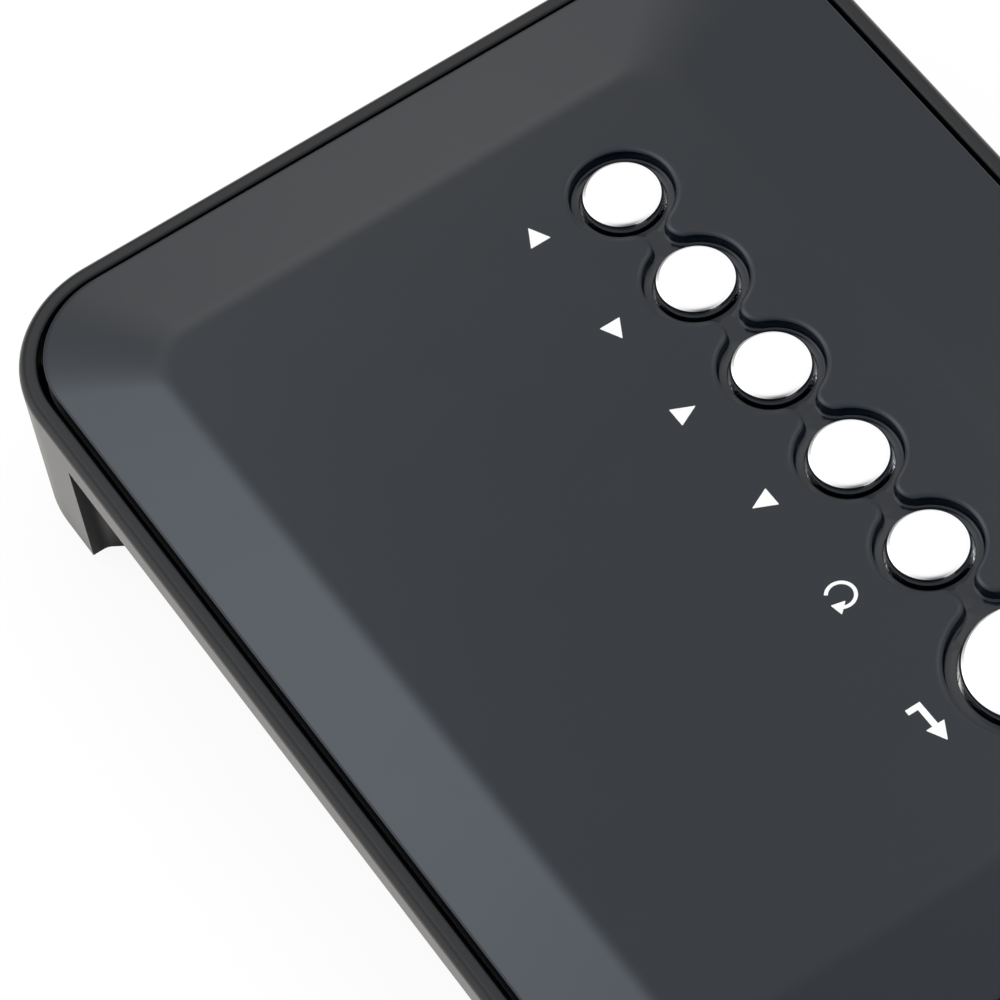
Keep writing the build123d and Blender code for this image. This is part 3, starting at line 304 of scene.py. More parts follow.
class Tree:
    """A node tree, emptied and written anew."""

    def __init__(self, owner):
        owner.use_nodes = True
        self.tree = owner.node_tree
        self.tree.nodes.clear()

    def node(self, kind, settings=None, values=None, output=0):
        """Any node: its type, then its settings, then the values or links of its sockets."""
        made = self.tree.nodes.new(kind)
        for name, setting in (settings or {}).items():
            if name == "stops":
                self.set_stops(made.color_ramp, setting)
            else:
                setattr(made, name, setting)
        for key, value in (values or {}).items():
            if isinstance(value, Shade):
                self.tree.links.new(value.socket, made.inputs[key])
            else:
                made.inputs[key].default_value = value
        return Shade(self, made.outputs[output])

    @staticmethod
    def set_stops(ramp, stops):
        for place, level in stops[2:]:
            ramp.elements.new(place)
        for element, (place, level) in zip(ramp.elements, sorted(stops)):
            element.position = place
            element.color = (level, level, level, 1)

    def place(self):
        """Where a point is on the object."""
        return self.node("ShaderNodeTexCoord", output="Object")

    def noise(self, grain, detail=2.0, place=None):
        """Soft noise from 0 to 1 whose grain is a length."""
        values = {"Vector": place or self.place(), "Scale": 1 / grain, "Detail": detail}
        return self.node("ShaderNodeTexNoise", None, values)

    def ramp(self, factor, stops):
        return self.node("ShaderNodeValToRGB", {"stops": stops}, {"Fac": factor})

    def mixed(self, factor, first, second):
        """Colour between two colours."""
        return self.node(
            "ShaderNodeMix", {"data_type": "RGBA"},
            {0: factor, 6: opaque(first), 7: opaque(second)}, output=2,
        )

    def bump(self, height, depth, strength=1.0):
        """Normal of a relief that is depth metres deep."""
        return self.node(
            "ShaderNodeBump", None, {"Strength": strength, "Distance": depth, "Height": height}
        )

    def surface(self, **values):
        """Principled surface as the material's result. Words in a name are joined by _."""
        named = {name.replace("_", " "): value for name, value in values.items()}
        return self.node("ShaderNodeBsdfPrincipled", None, named)

    def result(self, shader, kind="ShaderNodeOutputMaterial"):
        made = self.tree.nodes.new(kind)
        self.tree.links.new(shader.socket, made.inputs["Surface"])


def opaque(value):
    """A colour as four numbers, or a link as it is."""
    return value if isinstance(value, Shade) else (*value[:3], 1.0)


def scaled(value, factor):
    return tuple(part * factor for part in value)


# Finishes, one for each material slot of the record. A plain one is its colour, metallic share,
# roughness, size of its grain, depth of its grain and how much its colour varies.

PLAIN_FINISHES = {
    "switch_black": ((0.012, 0.012, 0.013), 0, 0.45, 0.4 * MM, 0.010 * MM, 0.3),
    "plunger_grey": ((0.30, 0.30, 0.29), 0, 0.5, 0.4 * MM, 0.010 * MM, 0.15),
    "screw_steel": ((0.42, 0.42, 0.43), 1, 0.32, 0.25 * MM, 0.008 * MM, 0.25),
    "connector_cream": ((0.62, 0.58, 0.46), 0, 0.5, 0.4 * MM, 0.010 * MM, 0.15),
    "chip_black": ((0.014, 0.014, 0.015), 0, 0.58, 0.12 * MM, 0.008 * MM, 0.4),
    "pad_grey": ((0.25, 0.26, 0.28), 0, 0.8, 0.5 * MM, 0.020 * MM, 0.3),
    "crystal_can": ((0.58, 0.58, 0.57), 1, 0.3, 0.3 * MM, 0.006 * MM, 0.15),
    "capacitor_can": ((0.60, 0.61, 0.63), 1, 0.28, 0.3 * MM, 0.006 * MM, 0.15),
    "ferrite": ((0.030, 0.030, 0.032), 0, 0.7, 0.2 * MM, 0.020 * MM, 0.4),
    "socket_black": ((0.012, 0.012, 0.013), 0, 0.4, 0.3 * MM, 0.010 * MM, 0.3),
    "tongue_white": ((0.68, 0.68, 0.65), 0, 0.42, 0.4 * MM, 0.008 * MM, 0.1),
    "socket_steel": ((0.52, 0.52, 0.53), 1, 0.26, 0.3 * MM, 0.006 * MM, 0.2),
    "contact_brass": ((0.72, 0.52, 0.24), 1, 0.25, 0.2 * MM, 0.004 * MM, 0.2),
}


def plain_finish(tree, tint, metallic, roughness, grain, depth, mottle):
    """Moulded, cast or rolled material with a fine grain and slightly uneven colour."""
    fine = tree.noise(grain)
    broad = tree.noise(18 * grain, 3.0)
    return tree.surface(
        Base_Color=tree.mixed(broad, scaled(tint, 1 - mottle), scaled(tint, 1 + mottle)),
        Metallic=metallic,
        Roughness=roughness + 0.12 * (fine - 0.5),
        Normal=tree.bump(fine, depth),
    )


def case_finish(tree, tint):
    """Spark-eroded mould grain: fine pits, a little rougher in the pits."""
    pits = tree.noise(0.16 * MM, 3.0)
    cloud = tree.noise(9 * MM, 3.0)
    return tree.surface(
        Base_Color=tree.mixed(cloud, scaled(tint, 0.9), scaled(tint, 1.1)),
        Roughness=0.34 + 0.08 * (pits - 0.5) + 0.04 * (cloud - 0.5),
        IOR=1.39,
        Normal=tree.bump(pits, 0.012 * MM, 0.7),
    )


def panel_finish(tree, tint):
    """Polished moulding: a trace of waviness, and a roughness that handling makes uneven."""
    cloud = tree.noise(7 * MM, 4.0)
    wave = tree.noise(5 * MM, 1.0)
    return tree.surface(
        Base_Color=tree.mixed(cloud, scaled(tint, 0.94), scaled(tint, 1.06)),
        Roughness=0.15 + 0.03 * (cloud - 0.5),
        IOR=1.42,
        Normal=tree.bump(wave, 0.0015 * MM),
    )


def cap_finish(tree, tint):
    """Bright plating over moulded plastic, with faint polishing marks."""
    place = tree.node(
        "ShaderNodeMapping", None, {"Vector": tree.place(), "Scale": (1.0, 0.12, 1.0)}
    )
    marks = tree.noise(0.08 * MM, 2.0, place)
    cloud = tree.noise(2 * MM, 3.0)
    return tree.surface(
        Base_Color=tree.mixed(cloud, scaled(tint, 0.985), tint),
        Metallic=1.0,
        Roughness=0.07 + 0.03 * (marks - 0.5) + 0.02 * (cloud - 0.5),
        Normal=tree.bump(marks, 0.0004 * MM),
    )


def ink_finish(tree, tint):
    """Screen print: flat white with a slightly broken surface."""
    weave = tree.noise(0.1 * MM, 2.0)
    return tree.surface(
        Base_Color=tree.mixed(weave, scaled(tint, 0.97), tint),
        Roughness=0.4 + 0.1 * (weave - 0.5),
        Normal=tree.bump(weave, 0.003 * MM),
    )


def rubber_finish(tree, tint):
    pores = tree.noise(0.22 * MM, 3.0)
    dust = tree.noise(3 * MM, 4.0)
    return tree.surface(
        Base_Color=tree.mixed(tree.ramp(dust, [(0.45, 0), (0.8, 1)]), tint, scaled(tint, 2.2)),
        Roughness=0.78 + 0.1 * (pores - 0.5),
        Normal=tree.bump(pores, 0.02 * MM),
    )


def board_finish(tree, tint):
    """Green lacquer over copper: straight tracks, and tinned pads at their bends."""
    place = tree.place()
    cells = {"Vector": place, "Scale": 1 / (2.6 * MM), "Randomness": 0.8}
    kind = {"distance": "CHEBYCHEV", "feature": "F1"}
    tracks = tree.node("ShaderNodeTexVoronoi", kind, cells)
    lines = tree.ramp(tracks, [(0.42, 0), (0.46, 1), (0.52, 1), (0.56, 0)])
    pads = tree.ramp(tracks, [(0.0, 1), (0.10, 1), (0.13, 0)])
    cloud = tree.noise(6 * MM, 2.0)
    lacquer = tree.mixed(lines, tint, (tint[0] * 1.8, tint[1] * 1.9, tint[2] * 1.5))
    shade = tree.mixed(cloud, (0.0, 0.0, 0.0), lacquer)
    lacquer = tree.mixed(0.75, shade, lacquer)
    return tree.surface(
        Base_Color=tree.mixed(pads, lacquer, (0.62, 0.60, 0.55)),
        Metallic=pads * 0.9,
        Roughness=0.34 - 0.06 * pads + 0.1 * (cloud - 0.5),
        Normal=tree.bump(lines + pads, 0.03 * MM),
    )


def sink_finish(tree):
    """Extruded aluminium, drawn lines along the fins."""
    place = tree.node(
        "ShaderNodeMapping", None, {"Vector": tree.place(), "Scale": (1.0, 0.03, 1.0)}
    )
    lines = tree.noise(0.12 * MM, 3.0, place)
    return tree.surface(
        Base_Color=tree.mixed(lines, (0.50, 0.51, 0.52), (0.66, 0.67, 0.68)),
        Metallic=1.0,
        Roughness=0.34 + 0.16 * (lines - 0.5),
        Normal=tree.bump(lines, 0.006 * MM),
    )


def cable_finish(tree):
    """White ribbon with its conductors showing as fine grey lines."""
    place = tree.node("ShaderNodeSeparateXYZ", None, {"Vector": tree.place()})
    lines = tree.node(
        "ShaderNodeMath", {"operation": "PINGPONG"}, {0: place * (1 / MM), 1: 0.25}
    )
    drawn = tree.ramp(lines, [(0.10, 0), (0.16, 1)])
    return tree.surface(
        Base_Color=tree.mixed(drawn, (0.50, 0.50, 0.52), (0.78, 0.78, 0.76)),
        Roughness=0.4 + 0.1 * drawn,
        Normal=tree.bump(drawn, 0.01 * MM),
    )


def window_finish(tree):
    """Deep violet plastic that only infrared passes: near black, very glossy."""
    cloud = tree.noise(4 * MM, 3.0)
    return tree.surface(
        Base_Color=tree.mixed(cloud, (0.010, 0.003, 0.006), (0.016, 0.004, 0.009)),
        Roughness=0.06 + 0.03 * cloud,
        Coat_Weight=0.5,
        Normal=tree.bump(cloud, 0.001 * MM),
    )


def clear_finish(tree):
    """Water-clear moulding with a slight haze."""
    haze = tree.noise(1.5 * MM, 3.0)
    return tree.surface(
        Base_Color=tree.mixed(haze, (0.90, 0.93, 0.94), (0.97, 0.98, 0.98)),
        Roughness=0.08 + 0.08 * haze,
        IOR=1.49,
        Transmission_Weight=0.9,
    )


def finish_of(slot):
    """The material of one slot, made at its first use."""
    name = "finish_" + slot
    found = bpy.data.materials.get(name)
    if found:
        return found
    colours = bpy.context.scene.player_colours
    special = {
        "case_black": (case_finish, tuple(colours.case)),
        "panel_black": (panel_finish, tuple(colours.panel)),
        "plated_cap": (cap_finish, tuple(colours.cap)),
        "ink_white": (ink_finish, tuple(colours.ink)),
        "foot_rubber": (rubber_finish, tuple(colours.rubber)),
        "board_green": (board_finish, tuple(colours.board)),
        "heat_sink_aluminium": (sink_finish,),
        "cable_white": (cable_finish,),
        "window_tint": (window_finish,),
        "clear_pipe": (clear_finish,),
        "led_clear": (clear_finish,),
    }
    paint, *values = special.get(slot) or (plain_finish, *PLAIN_FINISHES[slot])
    made = bpy.data.materials.new(name)
    tree = Tree(made)
    tree.result(paint(tree, *values))
    return made


# Shapes


def verts_in(geometry):
    return [part for part in geometry if isinstance(part, bmesh.types.BMVert)]


class Pen:
    """A line of vertices, drawn by steps and by turns round upright axes."""

    def __init__(self, mesh, start):
        self.mesh = mesh
        self.verts = [mesh.verts.new(start)]

    def to(self, point):
        made = bmesh.ops.extrude_vert_indiv(self.mesh, verts=self.verts[-1:])["verts"]
        bmesh.ops.translate(self.mesh, verts=made, vec=Vector(point) - made[0].co)
        self.verts += made
        return self

    def turn(self, centre, angle, steps):
        for _ in range(steps):
            made = bmesh.ops.spin(
                self.mesh, geom=self.verts[-1:], cent=centre, axis=Z_AXIS,
                angle=angle / steps, steps=1,
            )
            self.verts += verts_in(made["geom_last"])
        return self

    def close(self):
        """Join the line's ends, or merge them where they meet."""
        first, last = self.verts[0], self.verts[-1]
        if (first.co - last.co).length < MERGE:
            bmesh.ops.weld_verts(self.mesh, targetmap={last: first})
            self.verts.pop()
        else:
            self.mesh.edges.new((last, first))
        return self

    def points(self):
        return [vert.co.copy() for vert in self.verts]


def draw_rounded(mesh, width, depth, radius, z=0.0, x=0.0, y=0.0, steps=CORNER_STEPS):
    """Rounded rectangle, level at z, round a middle at x and y."""
    half_x, half_y = width / 2, depth / 2
    in_x, in_y = half_x - radius, half_y - radius
    pen = Pen(mesh, (x + half_x, y - in_y, z))
    pen.to((x + half_x, y + in_y, z)).turn((x + in_x, y + in_y, z), QUARTER, steps)
    pen.to((x - in_x, y + half_y, z)).turn((x - in_x, y + in_y, z), QUARTER, steps)
    pen.to((x - half_x, y - in_y, z)).turn((x - in_x, y - in_y, z), QUARTER, steps)
    pen.to((x + in_x, y - half_y, z)).turn((x + in_x, y - in_y, z), QUARTER, steps)
    return pen.close()


def draw_circle(mesh, x, y, radius, z, steps=TURN_STEPS):
    return Pen(mesh, (x + radius, y, z)).turn((x, y, z), 4 * QUARTER, steps).close()


def traced(draw, *values, **named):
    """Points of a line that is drawn in a mesh of its own."""
    scratch = bmesh.new()
    points = draw(scratch, *values, **named).points()
    scratch.free()
    return points


def edges_of(mesh, ring):
    return [mesh.edges.get(pair) for pair in zip(ring, ring[1:] + ring[:1])]


def push(mesh, ring, places):
    """Extrude a closed ring and set the new ring down at the given places."""
    made = bmesh.ops.extrude_edge_only(mesh, edges=edges_of(mesh, ring))["geom"]
    fresh = set(verts_in(made))
    moved = []
    for vert, place in zip(ring, places):
        partner = next(
            edge.other_vert(vert) for edge in vert.link_edges if edge.other_vert(vert) in fresh
        )
        partner.co = place
        moved.append(partner)
    return moved


def level(points, z):
    """The same points at another height."""
    return [Vector((point.x, point.y, z)) for point in points]


def between(first, second, share, z):
    """Points on the way from one line to another, at one height."""
    return level([a.lerp(b, share) for a, b in zip(first, second)], z)


def fill(mesh, *rings):
    """Flat face inside the first ring and outside the others."""
    edges = [edge for ring in rings for edge in edges_of(mesh, ring)]
    bmesh.ops.triangle_fill(mesh, use_beauty=True, edges=edges, normal=Z_AXIS)


def lathe(mesh, profile, x=0.0, y=0.0, steps=TURN_STEPS):
    """Turn a line of (radius, height) points round an upright axis."""
    known = set(mesh.verts)
    pen = Pen(mesh, (x + profile[0][0], y, profile[0][1]))
    for radius, z in profile[1:]:
        pen.to((x + radius, y, z))
    if profile[0][0] > MERGE and profile[-1][0] > MERGE:
        pen.close()
    drawn = set(pen.verts)
    geometry = pen.verts + [edge for edge in mesh.edges if drawn.issuperset(edge.verts)]
    bmesh.ops.spin(
        mesh, geom=geometry, cent=(x, y, 0), axis=Z_AXIS, angle=4 * QUARTER, steps=steps,
        use_merge=True,
    )
    made = [vert for vert in mesh.verts if vert not in known]
    bmesh.ops.remove_doubles(mesh, verts=made, dist=MERGE)
    return mesh


def rounded_corner(radius, corner, start, steps=6):
    """Quarter round of a profile, as points, from one quarter turn to the next."""
    x, z = corner
    turns = [start + QUARTER * step / steps for step in range(steps + 1)]
    return [(x + radius * math.cos(turn), z + radius * math.sin(turn)) for turn in turns]


def face_in(mesh, ring):
    return bmesh.ops.edgeloop_fill(mesh, edges=edges_of(mesh, ring))["faces"]


def draw_out(mesh, faces, vec):
    """Draw flat faces out to a solid."""
    made = bmesh.ops.extrude_face_region(mesh, geom=faces, use_keep_orig=True)["geom"]
    bmesh.ops.translate(mesh, verts=verts_in(made), vec=vec)


TURNS = {
    "X": Matrix(((0, 0, 1), (1, 0, 0), (0, 1, 0))),
    "Y": Matrix(((1, 0, 0), (0, 0, 1), (0, 1, 0))),
    "Z": Matrix.Identity(3),
}


def prism(mesh, low, high, axis="Z", radius=0.0, steps=6):
    """Bar between two corners, its edges along one axis rounded."""
    known = set(mesh.verts)
    turn = TURNS[axis]
    low, high = turn.transposed() @ Vector(low), turn.transposed() @ Vector(high)
    size, middle = high - low, (low + high) / 2
    if radius:
        pen = draw_rounded(mesh, size.x, size.y, radius, low.z, middle.x, middle.y, steps)
        faces = face_in(mesh, pen.verts)
    else:
        made = bmesh.ops.create_grid(mesh, x_segments=1, y_segments=1, size=0.5)["verts"]
        bmesh.ops.scale(mesh, verts=made, vec=(size.x, size.y, 1))
        bmesh.ops.translate(mesh, verts=made, vec=(middle.x, middle.y, low.z))
        faces = list(made[0].link_faces)
    draw_out(mesh, faces, (0, 0, size.z))
    made = [vert for vert in mesh.verts if vert not in known]
    bmesh.ops.transform(mesh, matrix=turn.to_4x4(), verts=made)
    return made


def drum(mesh, centre, radius, half_length, axis="Z", steps=48):
    """Round bar along one axis."""
    centre = Vector(centre)
    reach = Vector((radius, radius, radius))
    reach["XYZ".index(axis)] = half_length
    return prism(mesh, centre - reach, centre + reach, axis, radius - MERGE, steps // 4)


def outwards(mesh):
    bmesh.ops.remove_doubles(mesh, verts=mesh.verts, dist=MERGE)
    bmesh.ops.recalc_face_normals(mesh, faces=mesh.faces)
    return mesh


def new_object(name, mesh):
    data = bpy.data.meshes.new(name)
    mesh.to_mesh(data)
    mesh.free()
    made = bpy.data.objects.new(name, data)
    bpy.context.scene.collection.objects.link(made)
    return made


def carve(piece, tool, operation):
    """Join the tool to the piece or cut it away, and drop the tool."""
    change = piece.modifiers.new(operation, "BOOLEAN")
    change.object = tool
    change.operation = operation
    change.solver = "EXACT"
    graph = bpy.context.evaluated_depsgraph_get()
    made = bpy.data.meshes.new_from_object(piece.evaluated_get(graph))
    piece.modifiers.clear()
    piece.data = made
    bpy.data.objects.remove(tool)


def add_piece(piece, body, slot, *replaced, edge=0.0):
    """Shade a mesh smooth between its creases, finish it and let it ride on a body."""
    data = piece.data
    data.shade_smooth()
    data.set_sharp_from_angle(angle=SMOOTH_BELOW)
    data.materials.clear()
    data.materials.append(finish_of(slot))
    if edge:
        bevel = piece.modifiers.new("Rounded edges", "BEVEL")
        bevel.width = edge
        bevel.segments = 2
        bevel.limit_method = "ANGLE"
        bevel.angle_limit = math.radians(35)
        bevel.miter_outer = "MITER_ARC"
        bevel.use_clamp_overlap = True
    normals = piece.modifiers.new("Weighted normals", "WEIGHTED_NORMAL")
    normals.keep_sharp = True
    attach(piece, body)
    if replaced:
        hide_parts(*replaced)
    return piece


def softened(name, node, slot, edge):
    """A copy of a solid with its facets merged and its edges rounded."""
    mesh = bmesh.new()
    mesh.from_mesh(frame["nodes"][node].data)
    bmesh.ops.remove_doubles(mesh, verts=mesh.verts, dist=MERGE)
    bmesh.ops.dissolve_limit(
        mesh, angle_limit=math.radians(1), verts=mesh.verts, edges=mesh.edges
    )
    piece = new_object(name, mesh)
    for left_over in ("custom_normal", "sharp_edge", "sharp_face"):
        found = piece.data.attributes.get(left_over)
        if found:
            piece.data.attributes.remove(found)
    return add_piece(piece, CASE_BODY, slot, node, edge=edge)


def middle_of(node):
    low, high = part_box(node)
    return (low + high) / 2


def radius_of(button, caps):
    """Radius of a cap: half its flange, less what the flange adds."""
    low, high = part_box(button + "_button")
    return (high.x - low.x) / 2 - caps.clearance - caps.flange_width


# Pieces


class PLAYER_OT_case(bpy.types.Operator):
    """Moulded case with its rim, ledge, rear bay, openings and screw bosses"""

    bl_idname = "player.case"
    bl_label = "Case"

    def execute(self, context):
        sizes, panel = context.scene.player_case, context.scene.player_panel
        low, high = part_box("upper_frame")
        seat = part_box("top_panel")[1].z - panel.crown - panel.skirt
        piece = new_object("case_shell", self.shell(sizes, low, high, seat))
        carve(piece, new_object("tool", self.added(sizes, low, high, seat)), "UNION")
        carve(piece, new_object("tool", self.bay(sizes, low, high)), "DIFFERENCE")
        carve(piece, new_object("tool", self.openings(sizes, low, high, seat)), "DIFFERENCE")
        add_piece(piece, CASE_BODY, "case_black", "upper_frame", edge=sizes.edge)
        return {"FINISHED"}

    def shell(self, sizes, low, high, seat):
        """Sweep the wall's profile round the case."""
        mesh = bmesh.new()
        wall, rim = sizes.wall, high.z
        ledge = wall + sizes.ledge_width
        outer, edge = sizes.shoulder, sizes.rim_edge
        shoulder = rounded_corner(outer, (outer, rim - outer), QUARTER, 12)
        inner = rounded_corner(edge, (wall - edge, rim - edge), 0, 8)
        profile = [(0, low.z), *reversed(shoulder), *reversed(inner)]
        profile += [
            (wall, seat - sizes.gutter), (wall + sizes.gutter, seat), (ledge, seat),
            (ledge, seat - sizes.ledge_thickness),
            (wall, seat - sizes.ledge_thickness), (wall, low.z),
        ]
        turn_x, turn_y = high.x - sizes.corner_radius, high.y - sizes.corner_radius
        pen = Pen(mesh, (high.x, -turn_y, low.z))
        for inset, z in profile[1:]:
            pen.to((high.x - inset, -turn_y, z))
        pen.close()
        line = pen.verts + list(mesh.edges)
        for x, y, along in (
            (turn_x, turn_y, (0, 2 * turn_y, 0)),
            (-turn_x, turn_y, (-2 * turn_x, 0, 0)),
            (-turn_x, -turn_y, (0, -2 * turn_y, 0)),
            (turn_x, -turn_y, (2 * turn_x, 0, 0)),
        ):
            edges = [part for part in line if isinstance(part, bmesh.types.BMEdge)]
            made = bmesh.ops.extrude_edge_only(mesh, edges=edges)["geom"]
            verts = set(verts_in(made))
            bmesh.ops.translate(mesh, verts=list(verts), vec=along)
            line = list(verts) + [edge for edge in mesh.edges if verts.issuperset(edge.verts)]
            line = bmesh.ops.spin(
                mesh, geom=line, cent=(x, y, 0), axis=Z_AXIS, angle=QUARTER, steps=CORNER_STEPS
            )["geom_last"]
        return outwards(mesh)

    def added(self, sizes, low, high, seat):
        """Block that the bay is cut from, and the bosses for the case screws."""
        mesh = bmesh.new()
        reach = sizes.bay_width / 2 + sizes.wall
        inner_y = high.y - sizes.bay_depth - sizes.wall
        roof = seat - sizes.gutter - BAY_ROOF
        prism(mesh, (-reach, inner_y, low.z), (reach, high.y - sizes.wall / 2, roof))
        foot = low.z + BOSS_FOOT
        half = (seat - foot) / 2
        for x, y in self.boss_places(sizes, high):
            drum(mesh, (x, y, foot + half), BOSS_RADIUS, half)
        return outwards(mesh)

    def boss_places(self, sizes, high):
        corner = BOSS_REACH / math.sqrt(2)
        x, y = high.x - sizes.corner_radius + corner, high.y - sizes.corner_radius + corner
        return [(side * x, end * y) for side in (-1, 1) for end in (-1, 1)]

    def bay(self, sizes, low, high):
        """Space for the plugs: square at the mouth, slanted further in, open downwards."""
        mesh = bmesh.new()
        half, mouth = sizes.bay_width / 2, high.y + sizes.wall
        corner_y, wall_y = high.y - sizes.bay_straight, high.y - sizes.bay_depth
        foot = low.z - sizes.wall
        plan = [Vector(point) for point in (
            (-half, mouth, foot), (-half, corner_y, foot), (sizes.bay_taper - half, wall_y, foot),
            (half - sizes.bay_taper, wall_y, foot), (half, corner_y, foot), (half, mouth, foot),
        )]
        pen = Pen(mesh, plan[0])
        for before, corner, after in zip(plan, plan[1:], plan[2:]):
            start = corner + (before - corner).normalized() * sizes.bay_ease
            end = corner + (after - corner).normalized() * sizes.bay_ease
            for step in range(7):
                pen.to(start.lerp(corner, step / 6).lerp(corner.lerp(end, step / 6), step / 6))
        pen.to(plan[-1]).close()
        draw_out(mesh, face_in(mesh, pen.verts), (0, 0, high.z - sizes.lip - foot))
        return outwards(mesh)

    def openings(self, sizes, low, high, seat):
        """Cuts for the sockets, the window, the light pipe, the screws and the panel's pegs."""
        mesh = bmesh.new()
        gap = Vector((sizes.port_gap,) * 3)
        self.hdmi_opening(mesh, *self.round_node("hdmi_shell", "Y", gap))
        for node, axis in (("rear_usb_shell", "Y"), ("side_usb_shell", "X"), ("card_shell", "X")):
            prism(mesh, *self.round_node(node, axis, gap), axis, SOCKET_CORNER)
        frame_width = WINDOW_FLANGE - FRONT_GAP
        window = self.round_node("ir_window", "Y", Vector((-frame_width, 0, -frame_width)), 0)
        prism(mesh, *window, "Y", WINDOW_CORNER)
        for node, radius in (
            ("component_jack", SMALL_JACK), ("av_jack", SMALL_JACK), ("dc_jack", POWER_JACK),
        ):
            middle, outer = middle_of(node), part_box(node)[1].y
            drum(mesh, (middle.x, outer, middle.z), radius + sizes.port_gap, THROUGH, "Y")
        pipe, (left, right) = middle_of("light_pipe"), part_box("light_pipe")
        radius = (right.x - left.x) / 2 + FRONT_GAP
        drum(mesh, (pipe.x, left.y, pipe.z), radius, THROUGH, "Y")
        foot = low.z + BOSS_FOOT
        for x, y in self.boss_places(sizes, high):
            drum(mesh, (x, y, foot + BORE_MIDDLE), BOSS_BORE, BORE_HALF, steps=24)
        peg_x = high.x - sizes.wall - sizes.ledge_width / 2
        for side in (-1, 1):
            for end in (-1, 1):
                place = (side * peg_x, end * PEG_Y, seat)
                drum(mesh, place, PEG_BORE, PEG_BORE_HALF, steps=24)
        return outwards(mesh)

    def round_node(self, node, axis, spare, end=1):
        """Corners of a cut round a node, through the wall at its low or its high end."""
        low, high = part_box(node)
        low, high = low - spare, high + spare
        along = "XYZ".index(axis)
        outer = (low, high)[end][along]
        low[along], high[along] = outer - THROUGH, outer + THROUGH
        return low, high

    def hdmi_opening(self, mesh, low, high):
        """Opening whose lower corners are cut off, as those of the socket's shell are."""
        cut = HDMI_CHAMFER
        pen = Pen(mesh, (low.x, low.y, high.z))
        for x, z in (
            (low.x, low.z + cut), (low.x + cut, low.z), (high.x - cut, low.z),
            (high.x, low.z + cut), (high.x, high.z),
        ):
            pen.to((x, low.y, z))
        draw_out(mesh, face_in(mesh, pen.close().verts), (0, 2 * THROUGH, 0))


